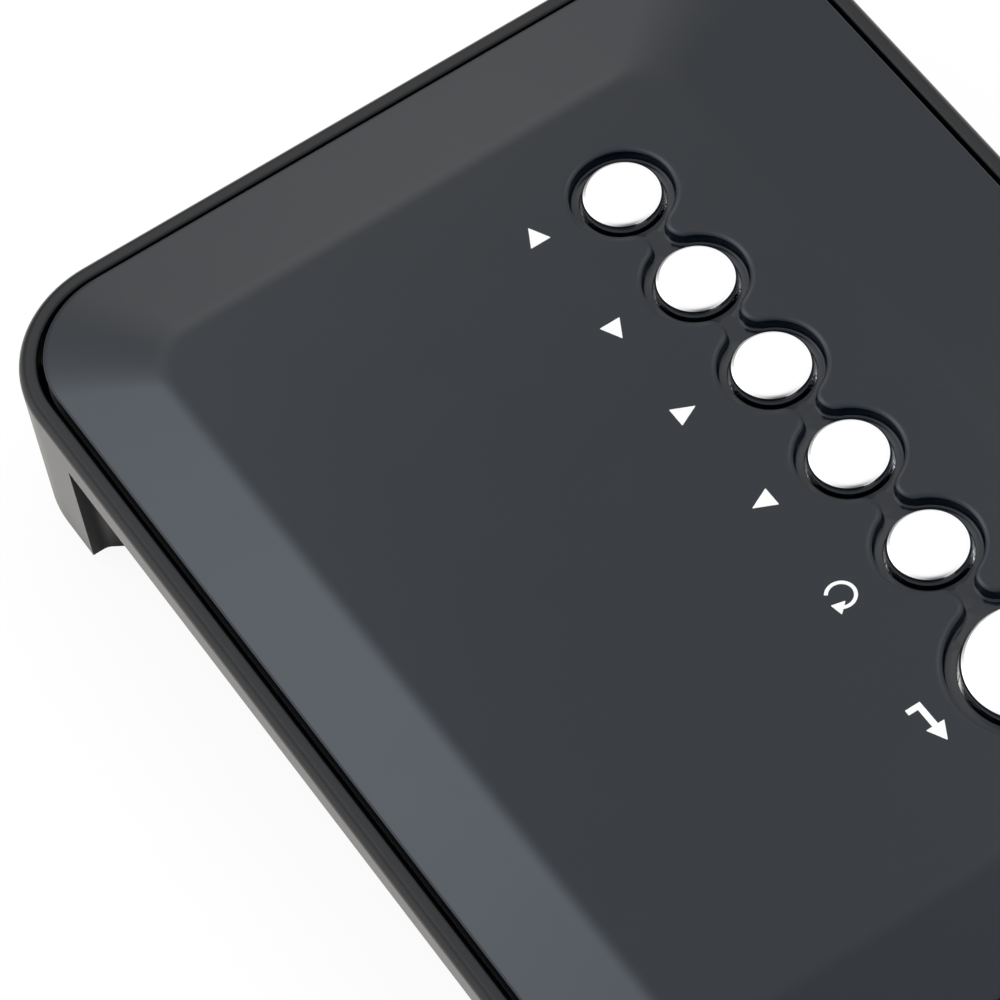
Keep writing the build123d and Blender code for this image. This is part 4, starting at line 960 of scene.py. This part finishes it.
class PLAYER_OT_panel(bpy.types.Operator):
    """Domed panel with the chain of pockets, the guide sleeves and the board posts"""

    bl_idname = "player.panel"
    bl_label = "Panel"

    def execute(self, context):
        sizes, caps = context.scene.player_panel, context.scene.player_caps
        low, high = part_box("top_panel")
        top, edge_z = high.z, high.z - sizes.crown
        self.sizes, self.width, self.depth = sizes, high.x - low.x, high.y - low.y
        mesh = bmesh.new()
        start = draw_rounded(mesh, *self.border(sizes.undercut), z=edge_z - sizes.skirt).verts
        flat_ring = self.outside(mesh, start, edge_z)
        under_ring = self.inside(mesh, start, edge_z)
        pocket_ring, floor_z = self.pocket(mesh, caps, top)
        fill(mesh, flat_ring, pocket_ring[0])
        holes, sleeves = [], []
        for name in BUTTONS:
            middle = middle_of(name + "_button")
            hole, sleeve = self.sleeve(mesh, middle, radius_of(name, caps), floor_z, top)
            holes.append(hole)
            sleeves.append(sleeve)
        fill(mesh, pocket_ring[1], *holes)
        fill(mesh, under_ring, *sleeves)
        self.posts(mesh, low, top)
        piece = new_object("domed_panel", outwards(mesh))
        add_piece(piece, CASE_BODY, "panel_black", "top_panel")
        return {"FINISHED"}

    def border(self, inset):
        """Width, depth and corner radius of the panel, drawn in by an inset."""
        radius = self.sizes.corner_radius - inset
        return self.width - 2 * inset, self.depth - 2 * inset, radius

    def flat(self, inset):
        """The same of the flat, and where its middle is."""
        sizes = self.sizes
        return {
            "width": self.width - 2 * (sizes.side_band + inset),
            "depth": self.depth - sizes.front_band - sizes.rear_band - 2 * inset,
            "radius": sizes.flat_radius - inset,
            "y": (sizes.front_band - sizes.rear_band) / 2,
        }

    def outside(self, mesh, ring, edge_z):
        """Skirt, rounded edge, sloping borders and the soft bend into the flat."""
        sizes = self.sizes
        outer = traced(draw_rounded, *self.border(0))
        inner = traced(draw_rounded, *self.border(sizes.edge))
        steps, first, last = 9, math.radians(-25), math.radians(84)
        for step in range(steps + 1):
            turn = first + (last - first) * step / steps
            z = edge_z - sizes.edge * (1 - math.sin(turn))
            ring = push(mesh, ring, between(outer, inner, 1 - math.cos(turn), z))
        edge = [vert.co.copy() for vert in ring]
        flat = traced(draw_rounded, **self.flat(0))
        bend = sizes.crease
        shares = [0.03, 0.2, 0.4, 0.6, 0.8, 1 - bend - 0.03]
        shares += [1 - bend + 2 * bend * step / 10 for step in range(11)]
        shares += [1 + bend + 0.02]
        for share in shares:
            rise = min(share, 1.0)
            if abs(share - 1) <= bend:
                rise = 1 - (1 + bend - share) ** 2 / (4 * bend)
            ring = push(mesh, ring, between(edge, flat, share, edge_z + rise * sizes.crown))
        return ring

    def inside(self, mesh, ring, edge_z):
        """Underside of the skirt, the borders and the flat."""
        sizes = self.sizes
        seat = edge_z - sizes.skirt
        wall = traced(draw_rounded, *self.border(sizes.thickness))
        flat = traced(draw_rounded, **self.flat(sizes.thickness))
        ring = push(mesh, ring, level(wall, seat))
        ring = push(mesh, ring, level(wall, edge_z - sizes.thickness))
        for share in (0.33, 0.67, 1.0):
            z = edge_z - sizes.thickness + share * sizes.crown
            ring = push(mesh, ring, between(wall, flat, share, z))
        return ring

    def chain(self, mesh, caps, grown, z):
        """Outline of the pockets and their necks, moved outwards by a distance."""
        sizes, (end_steps, side_steps, neck_steps) = self.sizes, (60, 26, 9)
        half, fillet = sizes.neck_width / 2 + grown, sizes.neck_fillet - grown
        pockets = []
        for name in BUTTONS:
            middle = middle_of(name + "_button")
            floor = sizes.large_floor if name == "ok" else sizes.small_floor
            radius = radius_of(name, caps) + caps.clearance + floor + grown
            reach = math.sqrt((radius + fillet) ** 2 - (half + fillet) ** 2)
            pockets.append((middle.x, radius, reach, math.atan2(half + fillet, reach)))
        y = middle.y
        x, radius, _, lean = pockets[0]
        pen = Pen(mesh, (x - radius * math.cos(lean), y - radius * math.sin(lean), z))
        last = len(pockets) - 1
        out_and_back = [(index, 1) for index in range(last)]
        out_and_back += [(index, -1) for index in range(last, 0, -1)]
        for index, side in out_and_back:
            x, radius, reach, lean = pockets[index]
            if index in (0, last):
                pen.turn((x, y, z), 4 * QUARTER - 2 * lean, end_steps)
            else:
                pen.turn((x, y, z), 2 * QUARTER - 2 * lean, side_steps)
            next_x, _, next_reach, next_lean = pockets[index + side]
            fillet_y, neck_end = y + side * (half + fillet), next_x + side * next_reach
            pen.turn((x - side * reach, fillet_y, z), lean - QUARTER, neck_steps)
            pen.to((neck_end, y + side * half, z))
            pen.turn((neck_end, fillet_y, z), next_lean - QUARTER, neck_steps)
        return pen.close()

    def pocket(self, mesh, caps, top):
        """Rounded rim, wall and foot of the pockets."""
        sizes = self.sizes
        floor_z = top - sizes.pocket_depth
        roll, drop = sizes.pocket_roll, sizes.pocket_drop
        rim, foot, margin, steps = sizes.pocket_edge, sizes.pocket_foot, 0.08 * MM, 7
        lean = math.atan(2 * drop / roll)
        brink = rim * (1 - math.sin(lean))
        first = self.chain(mesh, caps, brink + roll + margin, top).verts
        ring = first
        for step in range(steps):
            share = step / steps
            grown, z = brink + roll * (1 - share), top - drop * share * share
            ring = push(mesh, ring, traced(self.chain, caps, grown, z))
        for step in range(steps + 1):
            turn = lean + (QUARTER - lean) * step / steps
            grown = rim * (1 - math.sin(turn))
            z = top - drop - rim * (math.cos(lean) - math.cos(turn))
            ring = push(mesh, ring, traced(self.chain, caps, grown, z))
        for step in range(steps + 1):
            turn = QUARTER * step / steps
            grown, z = -foot * (1 - math.cos(turn)), floor_z + foot * (1 - math.sin(turn))
            ring = push(mesh, ring, traced(self.chain, caps, grown, z))
        return (first, ring), floor_z

    def sleeve(self, mesh, middle, radius, floor_z, top):
        """Bore for one cap, narrower at its mouth, and the sleeve that hangs round it."""
        sizes = self.sizes
        clearance = bpy.context.scene.player_caps.clearance
        mouth, bore = radius + sizes.mouth_gap, radius + clearance
        brim, mouth_end, taper_end = 0.06 * MM, floor_z - 0.4 * MM, floor_z - 0.6 * MM
        first = draw_circle(mesh, middle.x, middle.y, mouth + brim, floor_z).verts
        ring, end_z = first, top - sizes.sleeve_length
        outer = bore + sizes.sleeve_wall
        places = [
            (mouth + brim * (1 - math.sin(QUARTER * share)),
             floor_z - brim * (1 - math.cos(QUARTER * share))) for share in (0.33, 0.67, 1)
        ]
        places += [(mouth, mouth_end), (bore, taper_end)]
        places += [(bore, end_z), (outer, end_z), (outer, top - sizes.thickness)]
        for radius, z in places:
            ring = push(mesh, ring, traced(draw_circle, middle.x, middle.y, radius, z))
        return first, ring

    def posts(self, mesh, low, top):
        """Posts for the key board's screws, and the pegs in the ledge."""
        under = top - self.sizes.thickness + OVERLAP
        right, ok = middle_of("right_button"), middle_of("ok_button")
        between_x = (middle_of("down_button").x + middle_of("up_button").x) / 2
        blind = low.z + POST_BORE_DEPTH
        for x, y in (
            (right.x + POST_RIGHT, right.y), (between_x, right.y + POST_BACK),
            (ok.x - POST_LEFT, right.y),
        ):
            lathe(mesh, [
                (0, blind), (POST_BORE, blind), (POST_BORE, low.z), (POST_RADIUS, low.z),
                (POST_RADIUS, under), (0, under),
            ], x, y, 32)
        seat = top - self.sizes.crown - self.sizes.skirt
        peg_x, tip = self.width / 2 - PEG_INSET, seat - PEG_LENGTH
        for side in (-1, 1):
            for end in (-1, 1):
                lathe(mesh, [
                    (0, tip), (PEG_RADIUS - PEG_CHAMFER, tip), (PEG_RADIUS, tip + PEG_CHAMFER),
                    (PEG_RADIUS, seat + OVERLAP), (0, seat + OVERLAP),
                ], side * peg_x, end * PEG_Y, 24)


class PLAYER_OT_caps(bpy.types.Operator):
    """Plated caps, each riding on its own button"""

    bl_idname = "player.caps"
    bl_label = "Button caps"

    def execute(self, context):
        caps = context.scene.player_caps
        for name in BUTTONS:
            node = name + "_button"
            low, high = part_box(node)
            middle, radius = middle_of(node), radius_of(name, caps)
            flange = low.z + caps.stem_proud
            flange_top, roof = flange + caps.flange_height, high.z - caps.roof
            bore = radius - caps.wall
            brim = radius + caps.clearance + caps.flange_width
            brow = high.z - caps.dome
            face = rounded_corner(caps.edge, (radius - caps.edge, brow - caps.edge), 0)
            face += [
                ((radius - caps.edge) * share, high.z - caps.dome * share * share)
                for share in (0.9, 0.75, 0.6, 0.45, 0.3, 0.15, 0)
            ]
            profile = [
                (0, low.z), (caps.stem_radius, low.z), (caps.stem_radius, roof), (bore, roof),
                (bore, flange), (brim, flange), (brim, flange_top), (radius, flange_top),
                (radius, brow - caps.edge - OVERLAP), *face,
            ]
            mesh = bmesh.new()
            lathe(mesh, profile, middle.x, middle.y, 96)
            outwards(mesh)
            reach = bore + OVERLAP
            for half_x, half_y in ((reach, caps.rib), (caps.rib, reach)):
                half = Vector((half_x, half_y, 0))
                foot = Vector((middle.x, middle.y, flange_top))
                prism(mesh, foot - half, Vector((middle.x, middle.y, roof + OVERLAP)) + half)
            piece = new_object(name + "_cap", mesh)
            add_piece(piece, name + "_press_body", "plated_cap", node)
        return {"FINISHED"}


class PLAYER_OT_symbols(bpy.types.Operator):
    """White symbols printed behind the buttons"""

    bl_idname = "player.symbols"
    bl_label = "Printed symbols"

    # Button, quarter turns, and shift from the button's middle and from the row, in millimetres
    symbols = (
        ("right", 0, 0.52, 0.13), ("left", 2, -0.21, 0.12), ("down", 3, 0.35, 0.50),
        ("up", 1, 0.26, -0.18), ("return", 0, 0.2, 0.25), ("ok", 2, 2.09, 1.51),
    )

    def execute(self, context):
        sizes = context.scene.player_print
        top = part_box("top_panel")[1].z
        mesh = bmesh.new()
        row = middle_of("right_button").y + sizes.row
        draw = {"return": self.loop_arrow, "ok": self.bent_arrow}
        for name, quarter, shift_x, shift_y in self.symbols:
            place = Vector((middle_of(name + "_button").x + shift_x * MM, row + shift_y * MM))
            draw.get(name, self.triangle)(mesh, place, quarter * QUARTER, sizes)
        draw_out(mesh, list(mesh.faces), (0, 0, sizes.ink))
        bmesh.ops.translate(mesh, verts=mesh.verts, vec=(0, 0, top))
        bmesh.ops.recalc_face_normals(mesh, faces=mesh.faces)
        piece = new_object("printed_symbols", mesh)
        piece.data.materials.append(finish_of("ink_white"))
        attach(piece, CASE_BODY)
        return {"FINISHED"}

    def triangle(self, mesh, place, turn, sizes):
        self.head(mesh, place, turn, sizes.size, sizes.size)

    def head(self, mesh, place, turn, length, width):
        """Triangle round its middle, a little above the lines, with slightly rounded corners."""
        lift, corner = 0.002 * MM, 0.1 * MM
        made = bmesh.ops.create_circle(mesh, cap_ends=True, radius=1, segments=3)["verts"]
        pointing = Matrix.Rotation(turn - QUARTER, 4, "Z")
        shape = Matrix.Diagonal((width / math.sqrt(3), length / 1.5, 1, 1))
        whole = Matrix.Translation((*place, lift)) @ pointing @ shape
        bmesh.ops.transform(mesh, matrix=whole, verts=made)
        bmesh.ops.bevel(
            mesh, geom=made, offset=corner, offset_type="OFFSET", segments=3, profile=0.5,
            affect="VERTICES", material=-1,
        )

    def stroke(self, mesh, points, width):
        """Line of even width through some points, mitred at its bends."""
        points = [Vector((*point, 0)) for point in points]
        sides = []
        for index, point in enumerate(points):
            before = points[max(index - 1, 0)]
            after = points[min(index + 1, len(points) - 1)]
            into = (point - before).normalized() if index else (after - point).normalized()
            out = (after - point).normalized() if index < len(points) - 1 else into
            across = (into + out).normalized().cross(Z_AXIS)
            sides.append(across * width / 2 / max(across.dot(into.cross(Z_AXIS)), 0.3))
        edge = [mesh.verts.new(points[0] - sides[0]), mesh.verts.new(points[0] + sides[0])]
        line = mesh.edges.new(edge)
        for point, side in zip(points[1:], sides[1:]):
            made = bmesh.ops.extrude_edge_only(mesh, edges=[line])["geom"]
            fresh = verts_in(made)
            line = mesh.edges.get(fresh)
            for vert in fresh:
                old = next(e.other_vert(vert) for e in vert.link_edges if e is not line)
                vert.co = point - side if old is edge[0] else point + side
                if old is edge[0]:
                    first = vert
            edge = [first, next(v for v in fresh if v is not first)]

    def loop_arrow(self, mesh, place, turn, sizes):
        """Arrow that goes round and comes back."""
        radius, start, sweep, steps = 1.41 * MM, 55, 262, 30
        turns = [math.radians(start - sweep * step / steps) for step in range(steps + 1)]
        self.stroke(mesh, [
            place + Vector((math.cos(angle), math.sin(angle))) * radius for angle in turns
        ], sizes.stroke)
        tip, lean, length, width = Vector((-1.015, 0.88)) * MM, 43, 1.26 * MM, 1.58 * MM
        self.head(mesh, place + tip, turn + math.radians(lean), length, width)

    def bent_arrow(self, mesh, place, turn, sizes):
        """Arrow that drops and then runs left, drawn bolder."""
        drop, run, bold = Vector((0, 1.34)) * MM, Vector((-2.75, 0)) * MM, 1.7
        self.stroke(mesh, [place + drop, place, place + run], bold * sizes.stroke)
        tip, length, width = Vector((-3.26, 0)) * MM, 2.02 * MM, 2.06 * MM
        self.head(mesh, place + tip, turn, length, width)


class PLAYER_OT_underside(bpy.types.Operator):
    """Feet and case screws"""

    bl_idname = "player.underside"
    bl_label = "Underside"

    def execute(self, context):
        softened("case_screw_set", "case_screws", "screw_steel", 0.08 * MM)
        for end in ("front", "rear"):
            for side in ("left", "right"):
                node = f"{end}_{side}_foot"
                low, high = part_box(node)
                middle, radius = (low + high) / 2, (high.x - low.x) / 2
                edge, dish = 0.6 * MM, low.z + 0.25 * MM
                hollow, slope, ring = (radius - width * MM for width in (1.9, 1.4, 1.2))
                corner = rounded_corner(edge, (radius - edge, low.z + edge), 3 * QUARTER)
                profile = [
                    (0, dish), (hollow, dish), (slope, low.z + 0.05 * MM), (ring, low.z),
                    *corner, (radius, high.z), (0, high.z),
                ]
                mesh = bmesh.new()
                lathe(mesh, profile, middle.x, middle.y)
                piece = new_object(node + "_pad", outwards(mesh))
                add_piece(piece, CASE_BODY, "foot_rubber", node)
        return {"FINISHED"}


class PLAYER_OT_front(bpy.types.Operator):
    """Receiver window and the lens of the power light"""

    bl_idname = "player.front"
    bl_label = "Front window and light"

    def execute(self, context):
        softened("receiver_window", "ir_window", "window_tint", 0.15 * MM)
        softened("power_lens", "light_pipe", "clear_pipe", 0.12 * MM)
        return {"FINISHED"}


class PLAYER_OT_sockets(bpy.types.Operator):
    """Sockets at the rear and the right side, with their contacts"""

    bl_idname = "player.sockets"
    bl_label = "Sockets"

    def execute(self, context):
        for node, slot, edge in (
            ("dc_jack", "socket_black", 0.12), ("dc_pin", "contact_brass", 0.12),
            ("hdmi_shell", "socket_steel", 0.08), ("hdmi_tongue", "socket_black", 0.08),
            ("component_jack", "socket_black", 0.12), ("av_jack", "socket_black", 0.12),
            ("rear_usb_shell", "socket_steel", 0.08), ("rear_usb_tongue", "tongue_white", 0.1),
            ("side_usb_shell", "socket_steel", 0.08), ("side_usb_tongue", "tongue_white", 0.1),
            ("card_shell", "socket_steel", 0.08), ("card_base", "socket_black", 0.08),
        ):
            softened(node + "_piece", node, slot, edge * MM)
        self.contacts("hdmi_contacts", "hdmi_tongue", "Y", 10, 0.45 * MM, 0.55)
        self.contacts("rear_usb_contacts", "rear_usb_tongue", "Y", 4, 1.0 * MM, 0.7)
        self.contacts("side_usb_contacts", "side_usb_tongue", "X", 4, 1.0 * MM, 0.7)
        return {"FINISHED"}

    def contacts(self, name, node, axis, count, width, share):
        """Gilt strips along the lower face of a tongue."""
        low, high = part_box(node)
        along, across = "XYZ".index(axis), 1 - "XYZ".index(axis)
        proud, sunk, setback, corner = 0.12 * MM, 0.05 * MM, 0.4 * MM, 0.12 * MM
        margin = 0.08
        span = (high[across] - low[across]) * (1 - 2 * margin)
        mesh = bmesh.new()
        for index in range(count):
            centre = (low[across] + high[across]) / 2 + span * (index / (count - 1) - 0.5)
            first, last = Vector(low), Vector(low)
            first[across], last[across] = centre - width / 2, centre + width / 2
            last[along] = high[along] - setback
            first[along] = last[along] - (high[along] - low[along]) * share
            first.z, last.z = low.z - proud, low.z + sunk
            prism(mesh, first, last, "Z", corner, 3)
        piece = new_object(name, outwards(mesh))
        add_piece(piece, CASE_BODY, "contact_brass", edge=0.03 * MM)


class PLAYER_OT_boards(bpy.types.Operator):
    """Finishes of the bottom cover, the boards and the parts inside, which keep their solids"""

    bl_idname = "player.boards"
    bl_label = "Boards and parts inside"

    def execute(self, context):
        for part in frame["record"]["subparts"]:
            solid = frame["nodes"].get(part["node"])
            if solid is None or solid.hide_render:
                continue
            finish = finish_of(part["material_slot"])
            for place in solid.material_slots:
                place.material = finish
            if not solid.material_slots:
                solid.data.materials.append(finish)
        return {"FINISHED"}


class PLAYER_OT_studio(bpy.types.Operator):
    """Camera, white room and floor"""

    bl_idname = "player.studio"
    bl_label = "Studio"

    def execute(self, context):
        settings = context.scene.player_studio
        self.camera(context)
        self.room(context, settings)
        self.floor(settings)
        context.scene.view_settings.view_transform = "Standard"
        return {"FINISHED"}

    def camera(self, context):
        right, back = CAMERA_RIGHT.normalized(), CAMERA_BACK.normalized()
        made = bpy.data.cameras.new("camera")
        made.lens, made.sensor_width = CAMERA_LENS, CAMERA_FILM
        made.clip_start, made.clip_end = 0.01, 50.0
        camera = bpy.data.objects.new("camera", made)
        turned = Matrix((right, back.cross(right), back)).transposed().to_4x4()
        camera.matrix_world = Matrix.Translation(CAMERA_PLACE) @ turned
        context.scene.collection.objects.link(camera)
        context.scene.camera = camera

    def room(self, context, settings):
        """White all round with soft lights at the rear and right, darker behind the camera."""
        world = bpy.data.worlds.new("room")
        context.scene.world = world
        tree = Tree(world)
        direction = tree.node("ShaderNodeTexCoord", output="Generated")
        total = (settings.room, settings.room, settings.room)
        light, dark = (1.0, 1.0, 1.0), (-1.0, -1.0, -1.0)
        for azimuth, elevation, tint, strength, narrow in (
            (5, 59, (0.90, 1.00, 1.10), settings.rear_light, 80),
            (-19, 43, (1.02, 1.00, 0.96), settings.side_light, 120),
            (-48, 58, light, settings.front_light, 120),
            (0, 15, dark, settings.side_shade, 12),
            (50, 20, light, settings.fill_light, 12),
            (156, 12, dark, settings.camera_shade, 4),
        ):
            turn, lift = math.radians(azimuth), math.radians(elevation)
            towards = (
                math.cos(turn) * math.cos(lift), math.sin(turn) * math.cos(lift), math.sin(lift)
            )
            facing = tree.node(
                "ShaderNodeVectorMath", {"operation": "DOT_PRODUCT"}, {0: direction, 1: towards},
                output="Value",
            )
            glow = facing.at_least(0.0) ** narrow * strength
            lit = tree.node(
                "ShaderNodeVectorMath", {"operation": "SCALE"}, {0: tint, "Scale": glow}
            )
            total = tree.node("ShaderNodeVectorMath", {"operation": "ADD"}, {0: lit, 1: total})
        lamp = tree.node("ShaderNodeBackground", None, {"Color": total, "Strength": 1.0})
        white = tree.node("ShaderNodeBackground", None, {"Color": (1, 1, 1, 1), "Strength": 1.0})
        seen = tree.node("ShaderNodeLightPath", output="Is Camera Ray")
        tree.result(
            tree.node("ShaderNodeMixShader", None, {0: seen, 1: lamp, 2: white}),
            "ShaderNodeOutputWorld",
        )

    def floor(self, settings):
        """Pale floor: white to the eye, with a soft shadow, and open below the case to let
        light reach the underside."""
        mesh = bmesh.new()
        bmesh.ops.create_grid(mesh, x_segments=1, y_segments=1, size=settings.floor_size / 2)
        floor = new_object("studio_floor", mesh)
        finish = bpy.data.materials.new("studio_floor")
        tree = Tree(finish)
        matt = tree.node("ShaderNodeBsdfDiffuse", None, {"Color": (0.8, 0.8, 0.8, 1)})
        pale = tree.node("ShaderNodeBsdfDiffuse", None, {"Color": (0.1, 0.1, 0.1, 1)})
        glow = tree.node("ShaderNodeEmission", None, {"Color": (1, 1, 1, 1), "Strength": 0.91})
        shown = tree.node("ShaderNodeAddShader", None, {0: pale, 1: glow})
        bright = tree.node(
            "ShaderNodeEmission", None,
            {"Color": (1.0, 0.98, 0.945, 1), "Strength": settings.floor_glow},
        )
        clear = tree.node("ShaderNodeBsdfTransparent")
        beyond, under = self.floor_zones(tree)
        seen, shadow, mirrored, through = (
            tree.node("ShaderNodeLightPath", output=f"Is {kind} Ray")
            for kind in ("Camera", "Shadow", "Glossy", "Transmission")
        )
        reflected = tree.node("ShaderNodeMixShader", None, {0: beyond, 1: matt, 2: bright})
        surface = tree.node(
            "ShaderNodeMixShader", None, {0: mirrored.at_least(through), 1: matt, 2: reflected}
        )
        surface = tree.node("ShaderNodeMixShader", None, {0: seen, 1: surface, 2: shown})
        below = tree.node("ShaderNodeNewGeometry", output="Backfacing")
        opened = below.at_least(shadow.at_least(under * (1 - seen)))
        tree.result(tree.node("ShaderNodeMixShader", None, {0: opened, 1: surface, 2: clear}))
        floor.data.materials.append(finish)

    def floor_zones(self, tree):
        """How far a point is beyond the case, and whether it is below it, outside the bay."""
        soft, inset, bay_y, bay_x = 1.5 * MM, 0.4 * MM, 6.8 * MM, 44.5 * MM
        x, y = (
            tree.node("ShaderNodeSeparateXYZ", None, {"Vector": tree.place()}, output=axis)
            for axis in (0, 1)
        )
        reach = (x.size() - CAD_BOX[1][0]).at_least(y.size() - CAD_BOX[1][1])
        beyond = tree.node("ShaderNodeMapRange", None, {0: reach, 1: -soft, 2: soft})
        bay = y.above(CAD_BOX[1][1] - bay_y) * (1 - x.size().above(bay_x))
        return beyond, (1 - reach.above(-inset)) * (1 - bay)


OPERATORS = (
    PLAYER_OT_case, PLAYER_OT_panel, PLAYER_OT_caps, PLAYER_OT_symbols, PLAYER_OT_underside,
    PLAYER_OT_front, PLAYER_OT_sockets, PLAYER_OT_boards, PLAYER_OT_studio,
)


class PLAYER_PT_sidebar(bpy.types.Panel):
    """Buttons and settings of the player"""

    bl_idname = "PLAYER_PT_sidebar"
    bl_label = "Player"
    bl_space_type = "VIEW_3D"
    bl_region_type = "UI"
    bl_category = "Player"

    def draw(self, context):
        for operator in OPERATORS:
            self.layout.operator(operator.bl_idname)
        for name, group in GROUPS.items():
            box = self.layout.box()
            box.label(text=group.__doc__)
            for setting in group.__annotations__:
                box.prop(getattr(context.scene, name), setting)


def register():
    for group in GROUPS.values():
        bpy.utils.register_class(group)
    for name, group in GROUPS.items():
        setattr(bpy.types.Scene, name, PointerProperty(type=group))
    for made in (*OPERATORS, PLAYER_PT_sidebar):
        bpy.utils.register_class(made)


def unregister():
    for made in (PLAYER_PT_sidebar, *reversed(OPERATORS)):
        bpy.utils.unregister_class(made)
    for name, group in GROUPS.items():
        delattr(bpy.types.Scene, name)
        bpy.utils.unregister_class(group)


def main():
    register()
    for operator in OPERATORS:
        group, name = operator.bl_idname.split(".")
        getattr(getattr(bpy.ops, group), name)()


if __name__ == "__main__":
    main()
